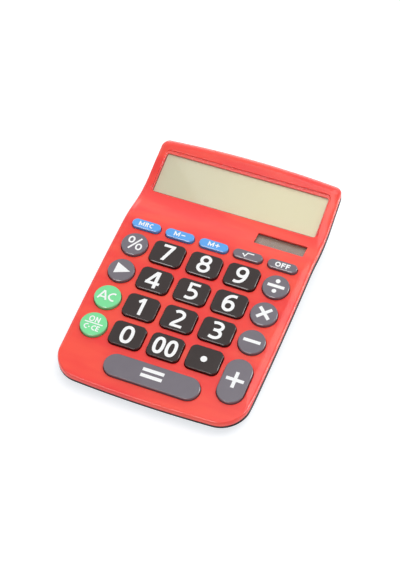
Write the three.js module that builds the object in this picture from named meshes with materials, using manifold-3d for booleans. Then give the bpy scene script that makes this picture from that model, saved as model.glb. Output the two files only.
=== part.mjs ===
// A desktop calculator with a tipped-up display head, built as the separate pieces of the real one.
// Lengths are in millimetres and +Z is up. +X is to the right and +Y runs back to the display.
// The origin lies on the table, under the middle of the part.
//
// Most pieces are laid out in the frame of the key deck: x runs across, s runs up the deck from the
// row of the zero key, and n stands square to the deck's upper face, which is n = 0.

import * as THREE from 'three';
import { mergeVertices } from 'three/addons/utils/BufferGeometryUtils.js';
import Module from 'manifold-3d';

const wasm = await Module();
wasm.setup();

// Keys: places on the deck
const keyPitchX = 20.5;
const keyPitchS = 17.5;
const keyGapX = 3.3;
const keyGapS = 3.9;
const roundKeyGap = 3.7;
const sideColumnGap = 2.95;
const pillGap = 3.07;
const pillRowInset = 0.2;
const pillRowOffset = 13.3;
const equalsRowDrop = 0.4;

// Keys: sizes of the caps where they pass through the deck
const numberKeyRadius = 3.1;
const plusTopDrop = 0.5;
const plusEndInset = 5.4;
const equalsEndInset = 3.95;
const equalsKeyDepth = 12.4;
const pillKeyDepth = 5.2;
const keyRise = 1.8;
const keyTopInset = 0.45;
const keyBevelDrop = 0.45;
const keyFlangeWidth = 0.6;
const keyFlangeThickness = 0.7;
const keyStubInset = 1.6;
const keyStubLength = 0.2;
const keyHoleClearance = 0.25;
const keyTravel = 0.8;

// General clearances and walls
const seatGap = 0.3;
const overrun = 3;

// Body: the outline seen square to the deck
const frontMargin = 7.7;
const sideMargin = 4.75;
const backWidening = 0.9;
const sideBulge = 0.85;
const frontBow = 1.9;
const backBow = 2.1;
const frontCornerRadius = 14;
const backCornerRadius = 4;
const leastCornerRadius = 1;
const headSpare = 3.8;

// Body: the side profile of the upper face
const deckTilt = 6.5;
const shoulderSetback = 0.7;
const shoulderRadius = 43;
const shoulderAngle = 15;
const slopeRun = 4.5;
const waistRadius = 38;
const headAngle = 16.7;

// Front cover
const coverWall = 1.8;
const coverEdgeRadius = 2.4;
const coverSkirt = 0.4;
const hookWidth = 8;
const hookThickness = 1.2;
const hookSpacing = 60;
const boardPostRadius = 2;
const screwPostRadius = 2.4;

// Display: the stepped recess, its pane and the panel behind it
const displayAngle = 13.3;
const recessFrontStep = 0.8;
const recessFrontRim = 4.2;
const recessBackRim = 4.7;
const recessLength = 26.2;
const recessRadius = 2.6;
const recessWall = 1;
const ledgeSideWidth = 0.8;
const ledgeBackWidth = 2.1;
const ledgeFrontWidth = 0.4;
const ledgeThickness = 1;
const apertureRadius = 1.6;
const paneThickness = 0.5;
const panelLap = 0.5;
const panelThickness = 2;
const frameWall = 1.1;
const frameLip = 2;
const frameLipThickness = 1;
const frameRadius = 2.5;
const flexWidth = 34;
const flexThickness = 0.3;
const flexLap = 4;
const flexSag = 1.5;

// Solar cell
const solarSideMargin = 5.6;
const solarShift = 0.7;
const solarWidth = 27;
const solarDepth = 8.5;
const solarRadius = 0.5;
const solarLap = 0.6;
const solarRimThickness = 0.5;
const solarPaneThickness = 0.4;
const solarCellThickness = 1.1;

// Rubber mat and circuit board under the keys
const matThickness = 0.8;
const domeHeight = 0.8;
const domeTopRadius = 1.3;
const domeBaseRadius = 2.4;
const domeWall = 0.5;
const boardThickness = 1;
const boardSideRoom = 4.15;
const boardCornerRadius = 4;
const boardBackMargin = 4.5;
const boardClearance = 1.1;
const chipRadius = 5;
const chipHeight = 1.4;

// Rear cover
const rearWall = 1.8;
const bandHeight = 3.7;
const bandFrontHeight = 1.6;
const bandBlend = 25;
const bandUndercut = 0.6;
const lipHeight = 0.6;
const lipThickness = 0.8;
const lipRoot = 1.6;
const floorThickness = 1.6;
const floorFrontInset = 3.5;
const floorSideInset = 4;
const floorBackInset = 9;
const floorFrontRadius = 10;
const floorBackRadius = 6;
const rearPostRadius = 3;

// Screws
const screwShankRadius = 0.9;
const screwHeadRadius = 1.9;
const screwHeadHeight = 1.3;
const screwPlay = 0.2;
const frontScrewLength = 4;
const rearScrewLength = 9;
const frontScrewInset = 7.4;
const frontScrewSideRoom = 17.1;
const rearScrewSideRoom = 12.1;
const boardScrewLength = 3.6;

// Feet
const footRadius = 4.5;
const footHeight = 1.2;
const footSeat = 0.6;
const frontFootX = 38;
const rearFootRoom = 3.5;
const footInset = 15;

// Battery, its well and its door
const batteryX = -17;
const batteryRadius = 5.8;
const batteryHeight = 5.4;
const batteryBackDistance = 30;
const wellPlay = 0.3;
const wellWall = 1.2;
const padThickness = 1.4;
const doorWidth = 18;
const doorLength = 22;
const doorThickness = 1.2;
const doorRadius = 2;
const doorNotchRadius = 3;
const contactThickness = 0.4;
const contactWidth = 4;
const contactReach = 3.4;

// How finely round forms are faceted
const frontSteps = 5;
const frontCornerSteps = 6;
const sideSteps = 26;
const backCornerSteps = 4;
const edgeSteps = 3;
const keyCornerSteps = 3;
const roundKeyCornerSteps = 5;
const domeSides = 8;
const postSides = 12;
const footSides = 20;
const batterySides = 28;
const flexSteps = 12;

// Shares that are no lengths
const bezierCircleShare = 0.5523;
const postSplitShare = 0.5;
const chipRowShare = 1.5;

const radians = THREE.MathUtils.degToRad;
const tilt = radians(deckTilt);

// Places that follow from the sizes above
const numberKeyWidth = keyPitchX - keyGapX;
const numberKeyDepth = keyPitchS - keyGapS;
const roundKeyDiameter = keyPitchS - roundKeyGap;
const sideColumnX = keyPitchX + (numberKeyWidth + roundKeyDiameter) / 2 + sideColumnGap;
const equalsS = -keyPitchS - equalsRowDrop;
const equalsFront = equalsS - equalsKeyDepth / 2;
const equalsKeyWidth = 2 * keyPitchX + numberKeyWidth - 2 * equalsEndInset;
const pillS = 3 * keyPitchS + pillRowOffset;
const pillRowHalf = sideColumnX + roundKeyDiameter / 2 - pillRowInset;
const pillKeyWidth = (2 * pillRowHalf - 4 * pillGap) / 5;
const pillPitch = pillKeyWidth + pillGap;
const plusBack = roundKeyDiameter / 2 - plusTopDrop;
const plusKeyLength = plusBack - equalsFront - plusEndInset;
const plusS = plusBack - plusKeyLength / 2;
const frontEdge = equalsFront - frontMargin;
const frontHalf = sideColumnX + roundKeyDiameter / 2 + sideMargin;
const backHalf = frontHalf + backWidening;
const recessFrontHalf = backHalf - recessFrontRim;
const recessBackHalf = backHalf - recessBackRim;
const coverDepth = coverEdgeRadius + coverSkirt;

// The upper face's side profile: flat deck, shoulder, straight slope, waist, straight head
const dip = radians(shoulderAngle);
const rise = radians(headAngle);
const shoulderStart = pillS + shoulderSetback;
const shoulderEnd = {
  s: shoulderStart + shoulderRadius * Math.sin(dip),
  n: -shoulderRadius * (1 - Math.cos(dip)),
};
const waistStart = {
  s: shoulderEnd.s + slopeRun * Math.cos(dip),
  n: shoulderEnd.n - slopeRun * Math.sin(dip),
};
const waistCentre = {
  s: waistStart.s + waistRadius * Math.sin(dip),
  n: waistStart.n + waistRadius * Math.cos(dip),
};
const waistEnd = {
  s: waistCentre.s + waistRadius * Math.sin(rise),
  n: waistCentre.n - waistRadius * Math.cos(rise),
};

function faceHeight(s) {
  if (s <= shoulderStart) return 0;
  if (s <= shoulderEnd.s) return Math.sqrt(shoulderRadius ** 2 - (s - shoulderStart) ** 2) - shoulderRadius;
  if (s <= waistStart.s) return shoulderEnd.n - (s - shoulderEnd.s) * Math.tan(dip);
  if (s <= waistEnd.s) return waistCentre.n - Math.sqrt(waistRadius ** 2 - (s - waistCentre.s) ** 2);
  return waistEnd.n + (s - waistEnd.s) * Math.tan(rise);
}

// The display recess starts at the lowest point of the waist and lies flatter than the head's face
const recessFront = waistCentre.s;
const recessBack = recessFront + recessLength * Math.cos(radians(displayAngle));
const headMargin = coverWall + lipThickness + hookThickness + 2 * seatGap + headSpare;
const backEdge = recessBack + headMargin;

// The layers under the deck, from the keys down to the board
const flangeTop = -(coverWall + seatGap);
const flangeBottom = flangeTop - keyFlangeThickness;
const stubBottom = flangeBottom - keyStubLength;
const domeTop = stubBottom - seatGap;
const matTop = domeTop - domeHeight;
const matBottom = matTop - matThickness;
const boardTop = matBottom - seatGap;
const boardBottom = boardTop - boardThickness;
const frontScrewS = frontEdge + frontScrewInset;
const boardFront = frontScrewS + rearPostRadius + 2 * seatGap;
const boardBack = pillS + boardBackMargin;
const boardHalf = frontHalf - boardSideRoom;

// Heights above the table. The deck is lifted so that the board clears the floor at its front end
const floorBottomZ = footHeight;
const floorTopZ = floorBottomZ + floorThickness;
const deckLift = floorTopZ + boardClearance - boardBottom * Math.cos(tilt) - boardFront * Math.sin(tilt);

// The rear cover's seam, band and floor as heights over the deck frame
const seamHeight = (s) => faceHeight(s) - coverDepth - seatGap;
const blend = (t) => t * t * (3 - 2 * t);
const clamp01 = (t) => Math.min(1, Math.max(0, t));
const bandAt = (s) => THREE.MathUtils.lerp(bandFrontHeight, bandHeight,
  blend(clamp01((s - frontEdge) / bandBlend)));
const bandBottom = (s) => seamHeight(s) - bandAt(s);
const levelHeight = (z) => (s) => (z - deckLift - s * Math.sin(tilt)) / Math.cos(tilt);

// Groups: the deck is tilted on the table, and the display and the solar cell are tilted on the deck
const calculator = new THREE.Group();
const deck = new THREE.Group();
deck.rotation.x = tilt;
deck.position.z = deckLift;
calculator.add(deck);

const display = new THREE.Group();
display.rotation.x = radians(displayAngle);
display.position.set(0, recessFront, faceHeight(recessFront) - recessFrontStep);
deck.add(display);

const solarX = frontHalf - solarSideMargin - solarWidth / 2;
const solarS = (shoulderEnd.s + waistStart.s) / 2 + solarShift;
const solar = new THREE.Group();
solar.rotation.x = -dip;
solar.position.set(solarX, solarS, shoulderEnd.n - (solarS - shoulderEnd.s) * Math.tan(dip));
deck.add(solar);

calculator.updateMatrixWorld(true);
const deckMatrix = deck.matrix.clone();
const tableToDeck = deckMatrix.clone().invert();

// Materials, one colour for each kind of piece
const plastic = (color, roughness) => new THREE.MeshStandardMaterial({ color, roughness, metalness: 0 });
const metal = (color, roughness) => new THREE.MeshStandardMaterial({ color, roughness, metalness: 1 });
const materials = {
  cover: plastic(0xf0473f, 0.25),
  rear: plastic(0x3a3436, 0.45),
  numberKey: plastic(0x3b3735, 0.4),
  greyKey: plastic(0x74717c, 0.35),
  greenKey: plastic(0x5fdc92, 0.35),
  blueKey: plastic(0x4a9bf2, 0.35),
  clear: new THREE.MeshStandardMaterial({ color: 0xf4f6f4, roughness: 0.05, transparent: true, opacity: 0.3 }),
  lcd: plastic(0xd9d4b4, 0.2),
  solarCell: plastic(0x6a5c50, 0.2),
  frame: plastic(0xe4e2dc, 0.5),
  rubber: plastic(0xd8d8d2, 0.8),
  foot: plastic(0x222222, 0.9),
  board: plastic(0x2f7a45, 0.5),
  epoxy: plastic(0x151515, 0.4),
  flex: plastic(0xb7792c, 0.4),
  steel: metal(0xc8c8c8, 0.35),
  contact: metal(0xd9cfa8, 0.3),
};

// Solids: a closed geometry becomes a solid that can be joined and cut, and turns back into a geometry
function toSolid(geometry, matrix) {
  const bare = geometry.clone();
  bare.deleteAttribute('normal');
  bare.deleteAttribute('uv');
  if (matrix) bare.applyMatrix4(matrix);
  const merged = mergeVertices(bare);
  return new wasm.Manifold(new wasm.Mesh({
    numProp: 3,
    vertProperties: Float32Array.from(merged.attributes.position.array),
    triVerts: Uint32Array.from(merged.index.array),
  }));
}

function toGeometry(solid) {
  const mesh = solid.getMesh();
  const geometry = new THREE.BufferGeometry();
  geometry.setAttribute('position', new THREE.BufferAttribute(Float32Array.from(mesh.vertProperties), 3));
  geometry.setIndex(new THREE.BufferAttribute(Uint32Array.from(mesh.triVerts), 1));
  geometry.computeVertexNormals();
  return geometry;
}

function addMesh(parent, name, geometry, material) {
  const mesh = new THREE.Mesh(geometry, material);
  mesh.name = name;
  parent.add(mesh);
  return mesh;
}

// Body outlines: half of the outline from the middle of the front edge to the middle of the back edge
const bodyShape = {
  front: frontEdge,
  back: backEdge,
  frontHalf,
  backHalf,
  frontRadius: frontCornerRadius,
  backRadius: backCornerRadius,
  inset: 0,
};

const floorShape = {
  front: frontEdge + floorFrontInset,
  back: backEdge - floorBackInset,
  frontHalf: frontHalf - floorSideInset,
  backHalf: backHalf - floorBackInset,
  frontRadius: floorFrontRadius,
  backRadius: floorBackRadius,
  inset: 0,
};

const insetBy = (shape, inset) => ({ ...shape, inset });

function cornerPoints(from, fromWay, to, toWay, reach, steps) {
  const curve = new THREE.CubicBezierCurve(
    from,
    from.clone().addScaledVector(fromWay.normalize(), reach * bezierCircleShare),
    to.clone().addScaledVector(toWay.normalize(), -reach * bezierCircleShare),
    to,
  );
  return curve.getPoints(steps).slice(1, -1);
}

function halfOutline(shape) {
  const { inset } = shape;
  const frontRadius = Math.max(shape.frontRadius - inset, leastCornerRadius);
  const backRadius = Math.max(shape.backRadius - inset, leastCornerRadius);
  const sideStart = shape.front + inset + frontBow + frontRadius;
  const sideEnd = shape.back - inset - backBow - backRadius;
  const along = (s) => (s - sideStart) / (sideEnd - sideStart);
  const half = (s) => THREE.MathUtils.lerp(shape.frontHalf, shape.backHalf, along(s)) - inset
    + sideBulge * (1 - (2 * along(s) - 1) ** 2);
  const frontS = (x) => shape.front + inset + frontBow * (x / half(sideStart)) ** 2;
  const backS = (x) => shape.back - inset - backBow * (x / half(sideEnd)) ** 2;
  const slope = (f, at) => (f(at + seatGap) - f(at - seatGap)) / (2 * seatGap);

  const frontX = half(sideStart) - frontRadius;
  const backX = half(sideEnd) - backRadius;
  const frontPoints = [];
  for (let i = 0; i <= frontSteps; i++) {
    const x = frontX * i / frontSteps;
    frontPoints.push(new THREE.Vector2(x, frontS(x)));
  }
  const sidePoints = [];
  for (let i = 0; i <= sideSteps; i++) {
    const s = THREE.MathUtils.lerp(sideStart, sideEnd, i / sideSteps);
    sidePoints.push(new THREE.Vector2(half(s), s));
  }
  const backPoints = [];
  for (let i = 0; i <= frontSteps; i++) {
    const x = backX * (1 - i / frontSteps);
    backPoints.push(new THREE.Vector2(x, backS(x)));
  }
  const frontCorner = cornerPoints(
    frontPoints.at(-1), new THREE.Vector2(1, slope(frontS, frontX)),
    sidePoints[0], new THREE.Vector2(slope(half, sideStart), 1), frontRadius, frontCornerSteps,
  );
  const backCorner = cornerPoints(
    sidePoints.at(-1), new THREE.Vector2(slope(half, sideEnd), 1),
    backPoints[0], new THREE.Vector2(-1, -slope(backS, backX)), backRadius, backCornerSteps,
  );
  return [...frontPoints, ...frontCorner, ...sidePoints, ...backCorner, ...backPoints];
}

// A closed solid through rings, from the highest down. A ring is an outline and its height at each s
function ringSolid(rings) {
  const halves = rings.map((ring) => halfOutline(ring.shape));
  const count = halves[0].length;
  const around = 2 * count - 2;
  const positions = [];
  rings.forEach((ring, k) => {
    for (let j = 0; j < around; j++) {
      const mirrored = j >= count;
      const point = halves[k][mirrored ? around - j : j];
      positions.push(mirrored ? -point.x : point.x, point.y, ring.height(point.y));
    }
  });
  const index = [];
  for (let k = 0; k + 1 < rings.length; k++) {
    for (let j = 0; j < around; j++) {
      const next = (j + 1) % around;
      const top = k * around;
      const low = top + around;
      index.push(top + j, low + j, low + next, top + j, low + next, top + next);
    }
  }
  const last = (rings.length - 1) * around;
  const left = (i) => (around - i) % around;
  for (let i = 0; i + 1 < count; i++) {
    if (i + 2 < count) {
      index.push(i, i + 1, left(i + 1));
      index.push(last + i, last + left(i + 1), last + i + 1);
    }
    if (i > 0) {
      const upper = i + 2 < count ? left(i + 1) : i + 1;
      index.push(i, upper, left(i));
      index.push(last + i, last + left(i), last + upper);
    }
  }
  const geometry = new THREE.BufferGeometry();
  geometry.setAttribute('position', new THREE.Float32BufferAttribute(positions, 3));
  geometry.setIndex(index);
  return toSolid(geometry);
}

// Small plan shapes
function roundedPolygon(points, radius) {
  const shape = new THREE.Shape();
  points.forEach((point, i) => {
    const before = points.at(i - 1);
    const after = points[(i + 1) % points.length];
    const from = point.clone().addScaledVector(before.clone().sub(point).normalize(), radius);
    const to = point.clone().addScaledVector(after.clone().sub(point).normalize(), radius);
    if (i === 0) shape.moveTo(from.x, from.y);
    else shape.lineTo(from.x, from.y);
    shape.quadraticCurveTo(point.x, point.y, to.x, to.y);
  });
  return shape;
}

function rectangle(left, right, low, high) {
  return [[left, low], [right, low], [right, high], [left, high]].map(([x, y]) => new THREE.Vector2(x, y));
}

function plate(shape, low, high, curveSegments = keyCornerSteps) {
  const geometry = new THREE.ExtrudeGeometry(shape, { depth: high - low, bevelEnabled: false, curveSegments });
  geometry.translate(0, 0, low);
  return geometry;
}

function post(radius, low, high, sides = postSides) {
  const geometry = new THREE.CylinderGeometry(radius, radius, high - low, sides);
  geometry.rotateX(Math.PI / 2);
  geometry.translate(0, 0, (low + high) / 2);
  return geometry;
}

const moved = (geometry, x, y, z = 0) => geometry.clone().translate(x, y, z);

// Keys
const legendlessKeys = [];

function addKeyPlace(name, x, s, width, depth, radius, material, cornerSteps = keyCornerSteps) {
  legendlessKeys.push({ name, x, s, width, depth, radius, material, cornerSteps });
}

function placeKeys() {
  const { numberKey, greyKey, greenKey, blueKey } = materials;
  const numbers = [['key_0', 'key_00', 'key_point'], ['key_1', 'key_2', 'key_3'],
    ['key_4', 'key_5', 'key_6'], ['key_7', 'key_8', 'key_9']];
  numbers.forEach((names, row) => names.forEach((name, column) => {
    addKeyPlace(name, (column - 1) * keyPitchX, row * keyPitchS, numberKeyWidth, numberKeyDepth,
      numberKeyRadius, numberKey);
  }));
  const round = (name, side, row, material) => addKeyPlace(name, side * sideColumnX, row * keyPitchS,
    roundKeyDiameter, roundKeyDiameter, roundKeyDiameter / 2, material, roundKeyCornerSteps);
  round('key_on_c_ce', -1, 0, greenKey);
  round('key_ac', -1, 1, greenKey);
  round('key_shift', -1, 2, greyKey);
  round('key_percent', -1, 3, greyKey);
  round('key_minus', 1, 1, greyKey);
  round('key_multiply', 1, 2, greyKey);
  round('key_divide', 1, 3, greyKey);
  addKeyPlace('key_plus', sideColumnX, plusS, roundKeyDiameter, plusKeyLength, roundKeyDiameter / 2,
    greyKey, roundKeyCornerSteps);
  addKeyPlace('key_equals', 0, equalsS, equalsKeyWidth, equalsKeyDepth, equalsKeyDepth / 2,
    greyKey, roundKeyCornerSteps);
  const pills = [['key_mrc', blueKey], ['key_m_minus', blueKey], ['key_m_plus', blueKey],
    ['key_sqrt', greyKey], ['key_off', greyKey]];
  pills.forEach(([name, material], i) => {
    addKeyPlace(name, (i - 2) * pillPitch, pillS, pillKeyWidth, pillKeyDepth, pillKeyDepth / 2, material);
  });
}

function roundedOutline(width, depth, radius, steps) {
  const corners = [[1, 1, 0], [-1, 1, 1], [-1, -1, 2], [1, -1, 3]];
  const reach = Math.min(radius, width / 2, depth / 2);
  const points = [];
  corners.forEach(([across, up, quarter]) => {
    for (let i = 0; i <= steps; i++) {
      const angle = (quarter + i / steps) * Math.PI / 2;
      points.push([
        across * (width / 2 - reach) + reach * Math.cos(angle),
        up * (depth / 2 - reach) + reach * Math.sin(angle),
      ]);
    }
  });
  return points;
}

// A closed solid through convex outlines of equally many points, from the highest down
function outlineStack(levels) {
  const count = levels[0].points.length;
  const positions = levels.flatMap(({ points, z }) => points.flatMap(([x, y]) => [x, y, z]));
  const index = [];
  for (let k = 0; k + 1 < levels.length; k++) {
    for (let j = 0; j < count; j++) {
      const next = (j + 1) % count;
      const top = k * count;
      const low = top + count;
      index.push(top + j, low + j, low + next, top + j, low + next, top + next);
    }
  }
  const last = (levels.length - 1) * count;
  for (let j = 1; j + 1 < count; j++) {
    index.push(0, j, j + 1);
    index.push(last, last + j + 1, last + j);
  }
  const geometry = new THREE.BufferGeometry();
  geometry.setAttribute('position', new THREE.Float32BufferAttribute(positions, 3));
  geometry.setIndex(index);
  return geometry;
}

function keyGeometry({ width, depth, radius, cornerSteps }) {
  const level = (grow, z) => ({
    points: roundedOutline(width + 2 * grow, depth + 2 * grow, radius + grow, cornerSteps),
    z,
  });
  const stubInset = Math.min(keyStubInset, depth / 4);
  return outlineStack([
    level(-keyTopInset, keyRise),
    level(0, keyRise - keyBevelDrop),
    level(0, flangeTop),
    level(keyFlangeWidth, flangeTop),
    level(keyFlangeWidth, flangeBottom),
    level(-stubInset, flangeBottom),
    level(-stubInset, stubBottom),
  ]);
}

function keyHole({ x, s, width, depth, radius, cornerSteps }) {
  const points = roundedOutline(width + 2 * keyHoleClearance, depth + 2 * keyHoleClearance,
    radius + keyHoleClearance, cornerSteps);
  return toSolid(moved(outlineStack([{ points, z: overrun }, { points, z: -overrun - coverWall }]), x, s));
}

function addKeys() {
  legendlessKeys.forEach((key) => {
    const mesh = addMesh(deck, key.name, keyGeometry(key), key.material);
    mesh.position.set(key.x, key.s, 0);
  });
}

// Posts and screws that join the covers stand upright on the table's normal
const solarBackS = solarS + (solarDepth / 2 + solarLap) * Math.cos(dip);
const rearScrewS = (solarBackS + recessFront - recessWall) / 2;
const frontScrewX = frontHalf - frontScrewSideRoom;
const rearScrewX = frontHalf - rearScrewSideRoom;
const caseScrews = [
  { name: 'case_screw_front_left', x: -frontScrewX, s: frontScrewS, length: frontScrewLength },
  { name: 'case_screw_front_right', x: frontScrewX, s: frontScrewS, length: frontScrewLength },
  { name: 'case_screw_rear_left', x: -rearScrewX, s: rearScrewS, length: rearScrewLength },
  { name: 'case_screw_rear_right', x: rearScrewX, s: rearScrewS, length: rearScrewLength },
].map((screw) => {
  const under = new THREE.Vector3(screw.x, screw.s, faceHeight(screw.s) - coverWall).applyMatrix4(deckMatrix);
  const splitZ = THREE.MathUtils.lerp(floorTopZ, under.z, postSplitShare);
  return { ...screw, y: under.y, ceilingZ: under.z, splitZ };
});

const boardScrewPlaces = [[-1, 0.5], [1, 0.5], [-1, 2.5], [1, 2.5]];
const boardScrews = boardScrewPlaces.map(([side, row], i) => ({
  name: `board_screw_${i + 1}`,
  x: side * keyPitchX / 2,
  s: row * keyPitchS,
}));

function screwGeometry(length) {
  const profile = [
    [0, -screwHeadHeight],
    [screwHeadRadius - screwPlay, -screwHeadHeight],
    [screwHeadRadius, -screwHeadHeight + screwPlay],
    [screwHeadRadius, 0],
    [screwShankRadius, 0],
    [screwShankRadius, length - screwShankRadius],
    [0, length],
  ].map(([r, z]) => new THREE.Vector2(r, z));
  const geometry = new THREE.LatheGeometry(profile, postSides);
  geometry.rotateX(Math.PI / 2);
  return toGeometry(toSolid(geometry));
}

// Display shapes in the display's own plane: the recess floor is w = 0
function recessShape(grow) {
  return roundedPolygon([
    new THREE.Vector2(-recessFrontHalf - grow, -grow),
    new THREE.Vector2(recessFrontHalf + grow, -grow),
    new THREE.Vector2(recessBackHalf + grow, recessLength + grow),
    new THREE.Vector2(-recessBackHalf - grow, recessLength + grow),
  ], recessRadius + grow);
}

const apertureHalf = recessBackHalf - ledgeSideWidth;
const apertureBack = recessLength - ledgeBackWidth;
const panelBore = panelLap + seatGap;
const frameReach = panelBore + frameWall;
const apertureRect = (grow) => rectangle(-apertureHalf - grow, apertureHalf + grow,
  ledgeFrontWidth - grow, apertureBack + grow);
const displaySolid = (geometry) => toSolid(geometry, display.matrix);

function displayCuts() {
  const head = overrun + headMargin;
  const pocket = displaySolid(plate(recessShape(0), 0, head));
  const aperture = displaySolid(plate(roundedPolygon(apertureRect(0), apertureRadius),
    -ledgeThickness - overrun, overrun));
  const frameRoom = displaySolid(plate(new THREE.Shape(apertureRect(frameReach + seatGap)),
    -ledgeThickness - overrun, -ledgeThickness));
  return pocket.add(aperture).add(frameRoom);
}

const solarRect = (grow) => rectangle(-solarWidth / 2 - grow, solarWidth / 2 + grow,
  -solarDepth / 2 - grow, solarDepth / 2 + grow);

function solarCut() {
  const opening = plate(roundedPolygon(solarRect(0), solarRadius), -coverWall - overrun, overrun);
  const paneRoom = plate(new THREE.Shape(solarRect(solarLap + seatGap)),
    -coverWall - overrun, -solarRimThickness);
  return toSolid(opening, solar.matrix).add(toSolid(paneRoom, solar.matrix));
}

// Front cover
function coverShell() {
  const rings = [];
  for (let i = 0; i <= edgeSteps; i++) {
    const angle = (i / edgeSteps) * Math.PI / 2;
    const inset = coverEdgeRadius * (1 - Math.sin(angle));
    const drop = coverEdgeRadius * (1 - Math.cos(angle));
    rings.push({ shape: insetBy(bodyShape, inset), height: (s) => faceHeight(s) - drop });
  }
  rings.push({ shape: bodyShape, height: (s) => faceHeight(s) - coverDepth });
  const innerRadius = coverEdgeRadius - coverWall;
  const hollow = ringSolid([
    { shape: insetBy(bodyShape, coverWall + innerRadius), height: (s) => faceHeight(s) - coverWall },
    { shape: insetBy(bodyShape, coverWall), height: (s) => faceHeight(s) - coverWall - innerRadius },
    { shape: insetBy(bodyShape, coverWall), height: (s) => faceHeight(s) - coverDepth - overrun },
  ]);
  const displaySeat = displaySolid(plate(recessShape(recessWall), -ledgeThickness, headMargin));
  return ringSolid(rings).subtract(hollow.subtract(displaySeat));
}

// The hooks at the back catch under the rear cover's rim when the covers are screwed together
function coverHook(side) {
  const x = side * hookSpacing / 2;
  const farX = (hookSpacing + hookWidth) / 2;
  const wallS = backEdge - backBow * (farX / (bodyShape.backHalf - backCornerRadius)) ** 2;
  const outer = wallS - coverWall - lipThickness - 2 * seatGap;
  const barbTop = seamHeight(outer) - lipRoot - seatGap;
  const stem = plate(new THREE.Shape(rectangle(x - hookWidth / 2, x + hookWidth / 2,
    outer - hookThickness, outer)), barbTop - hookThickness, faceHeight(outer) - coverWall / 2);
  const barb = plate(new THREE.Shape(rectangle(x - hookWidth / 2, x + hookWidth / 2, outer - hookThickness,
    outer + lipThickness)), barbTop - hookThickness, barbTop);
  return toSolid(stem).add(toSolid(barb));
}

function addFrontCover() {
  let cover = coverShell();
  caseScrews.forEach(({ x, y, ceilingZ, splitZ }) => {
    const column = post(screwPostRadius, splitZ + seatGap / 2, ceilingZ + coverWall / 2);
    cover = cover.add(toSolid(moved(column, x, y), tableToDeck));
  });
  boardScrews.forEach(({ x, s }) => {
    cover = cover.add(toSolid(moved(post(boardPostRadius, boardTop + seatGap, -coverWall / 2), x, s)));
  });
  [-1, 1].forEach((side) => { cover = cover.add(coverHook(side)); });
  const pilot = screwShankRadius + screwPlay;
  caseScrews.forEach(({ x, y, splitZ, length }) => {
    const tip = screwSeatZ({ splitZ, length }) + length + seatGap;
    cover = cover.subtract(toSolid(moved(post(pilot, splitZ - overrun, tip), x, y), tableToDeck));
  });
  boardScrews.forEach(({ x, s }) => {
    const hole = post(pilot, boardTop - overrun, boardBottom - seatGap + boardScrewLength + seatGap);
    cover = cover.subtract(toSolid(moved(hole, x, s)));
  });
  legendlessKeys.forEach((key) => { cover = cover.subtract(keyHole(key)); });
  cover = cover.subtract(displayCuts()).subtract(solarCut());
  addMesh(deck, 'front_cover', toGeometry(cover), materials.cover);
}

// The face that the head of a case screw bears on
function screwSeatZ({ splitZ, length }) {
  return splitZ - length / 2;
}

// Rear cover
const batteryY = new THREE.Vector3(0, backEdge - batteryBackDistance, 0).applyMatrix4(deckMatrix).y;
const doorRect = (grow) => rectangle(batteryX - doorWidth / 2 - grow, batteryX + doorWidth / 2 + grow,
  batteryY - doorLength / 2 - grow, batteryY + doorLength / 2 + grow);
const doorPlan = (grow) => roundedPolygon(doorRect(grow), doorRadius + grow);
const contactSide = batteryRadius + seatGap;
const contactCorner = Math.hypot(contactSide + contactThickness, contactWidth / 2);
const wellRadius = contactCorner / Math.cos(Math.PI / batterySides) + wellPlay;
const rearFootX = Math.abs(batteryX) + doorWidth / 2 + footRadius + rearFootRoom;
const wellTopZ = floorBottomZ + doorThickness + seatGap + batteryHeight;
const feet = [
  { name: 'foot_front_left', x: -frontFootX, s: frontEdge + footInset + footRadius },
  { name: 'foot_front_right', x: frontFootX, s: frontEdge + footInset + footRadius },
  { name: 'foot_rear_left', x: -rearFootX, s: backEdge - footInset - footRadius },
  { name: 'foot_rear_right', x: rearFootX, s: backEdge - footInset - footRadius },
].map((foot) => ({ ...foot, y: foot.s * Math.cos(tilt) }));

function rearShell() {
  const outer = ringSolid([
    { shape: bodyShape, height: seamHeight },
    { shape: bodyShape, height: bandBottom },
    { shape: insetBy(bodyShape, bandUndercut), height: (s) => bandBottom(s) - bandUndercut / 2 },
    { shape: floorShape, height: levelHeight(floorBottomZ) },
  ]);
  const hollow = ringSolid([
    { shape: insetBy(bodyShape, rearWall), height: (s) => seamHeight(s) + overrun },
    { shape: insetBy(bodyShape, rearWall), height: (s) => bandBottom(s) + bandUndercut },
    { shape: insetBy(floorShape, rearWall), height: levelHeight(floorTopZ) },
  ]);
  const rim = (inset, low, high) => ringSolid([
    { shape: insetBy(bodyShape, inset), height: (s) => seamHeight(s) + high },
    { shape: insetBy(bodyShape, inset), height: (s) => seamHeight(s) - low },
  ]);
  const lipOuter = coverWall + seatGap;
  const lipInner = lipOuter + lipThickness;
  const lip = rim(lipOuter, lipRoot, lipHeight);
  const root = rim(rearWall - seatGap, lipRoot, 0);
  const bore = rim(lipInner, lipRoot + overrun, lipHeight + overrun);
  return outer.subtract(hollow).add(lip.add(root).subtract(bore));
}

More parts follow.
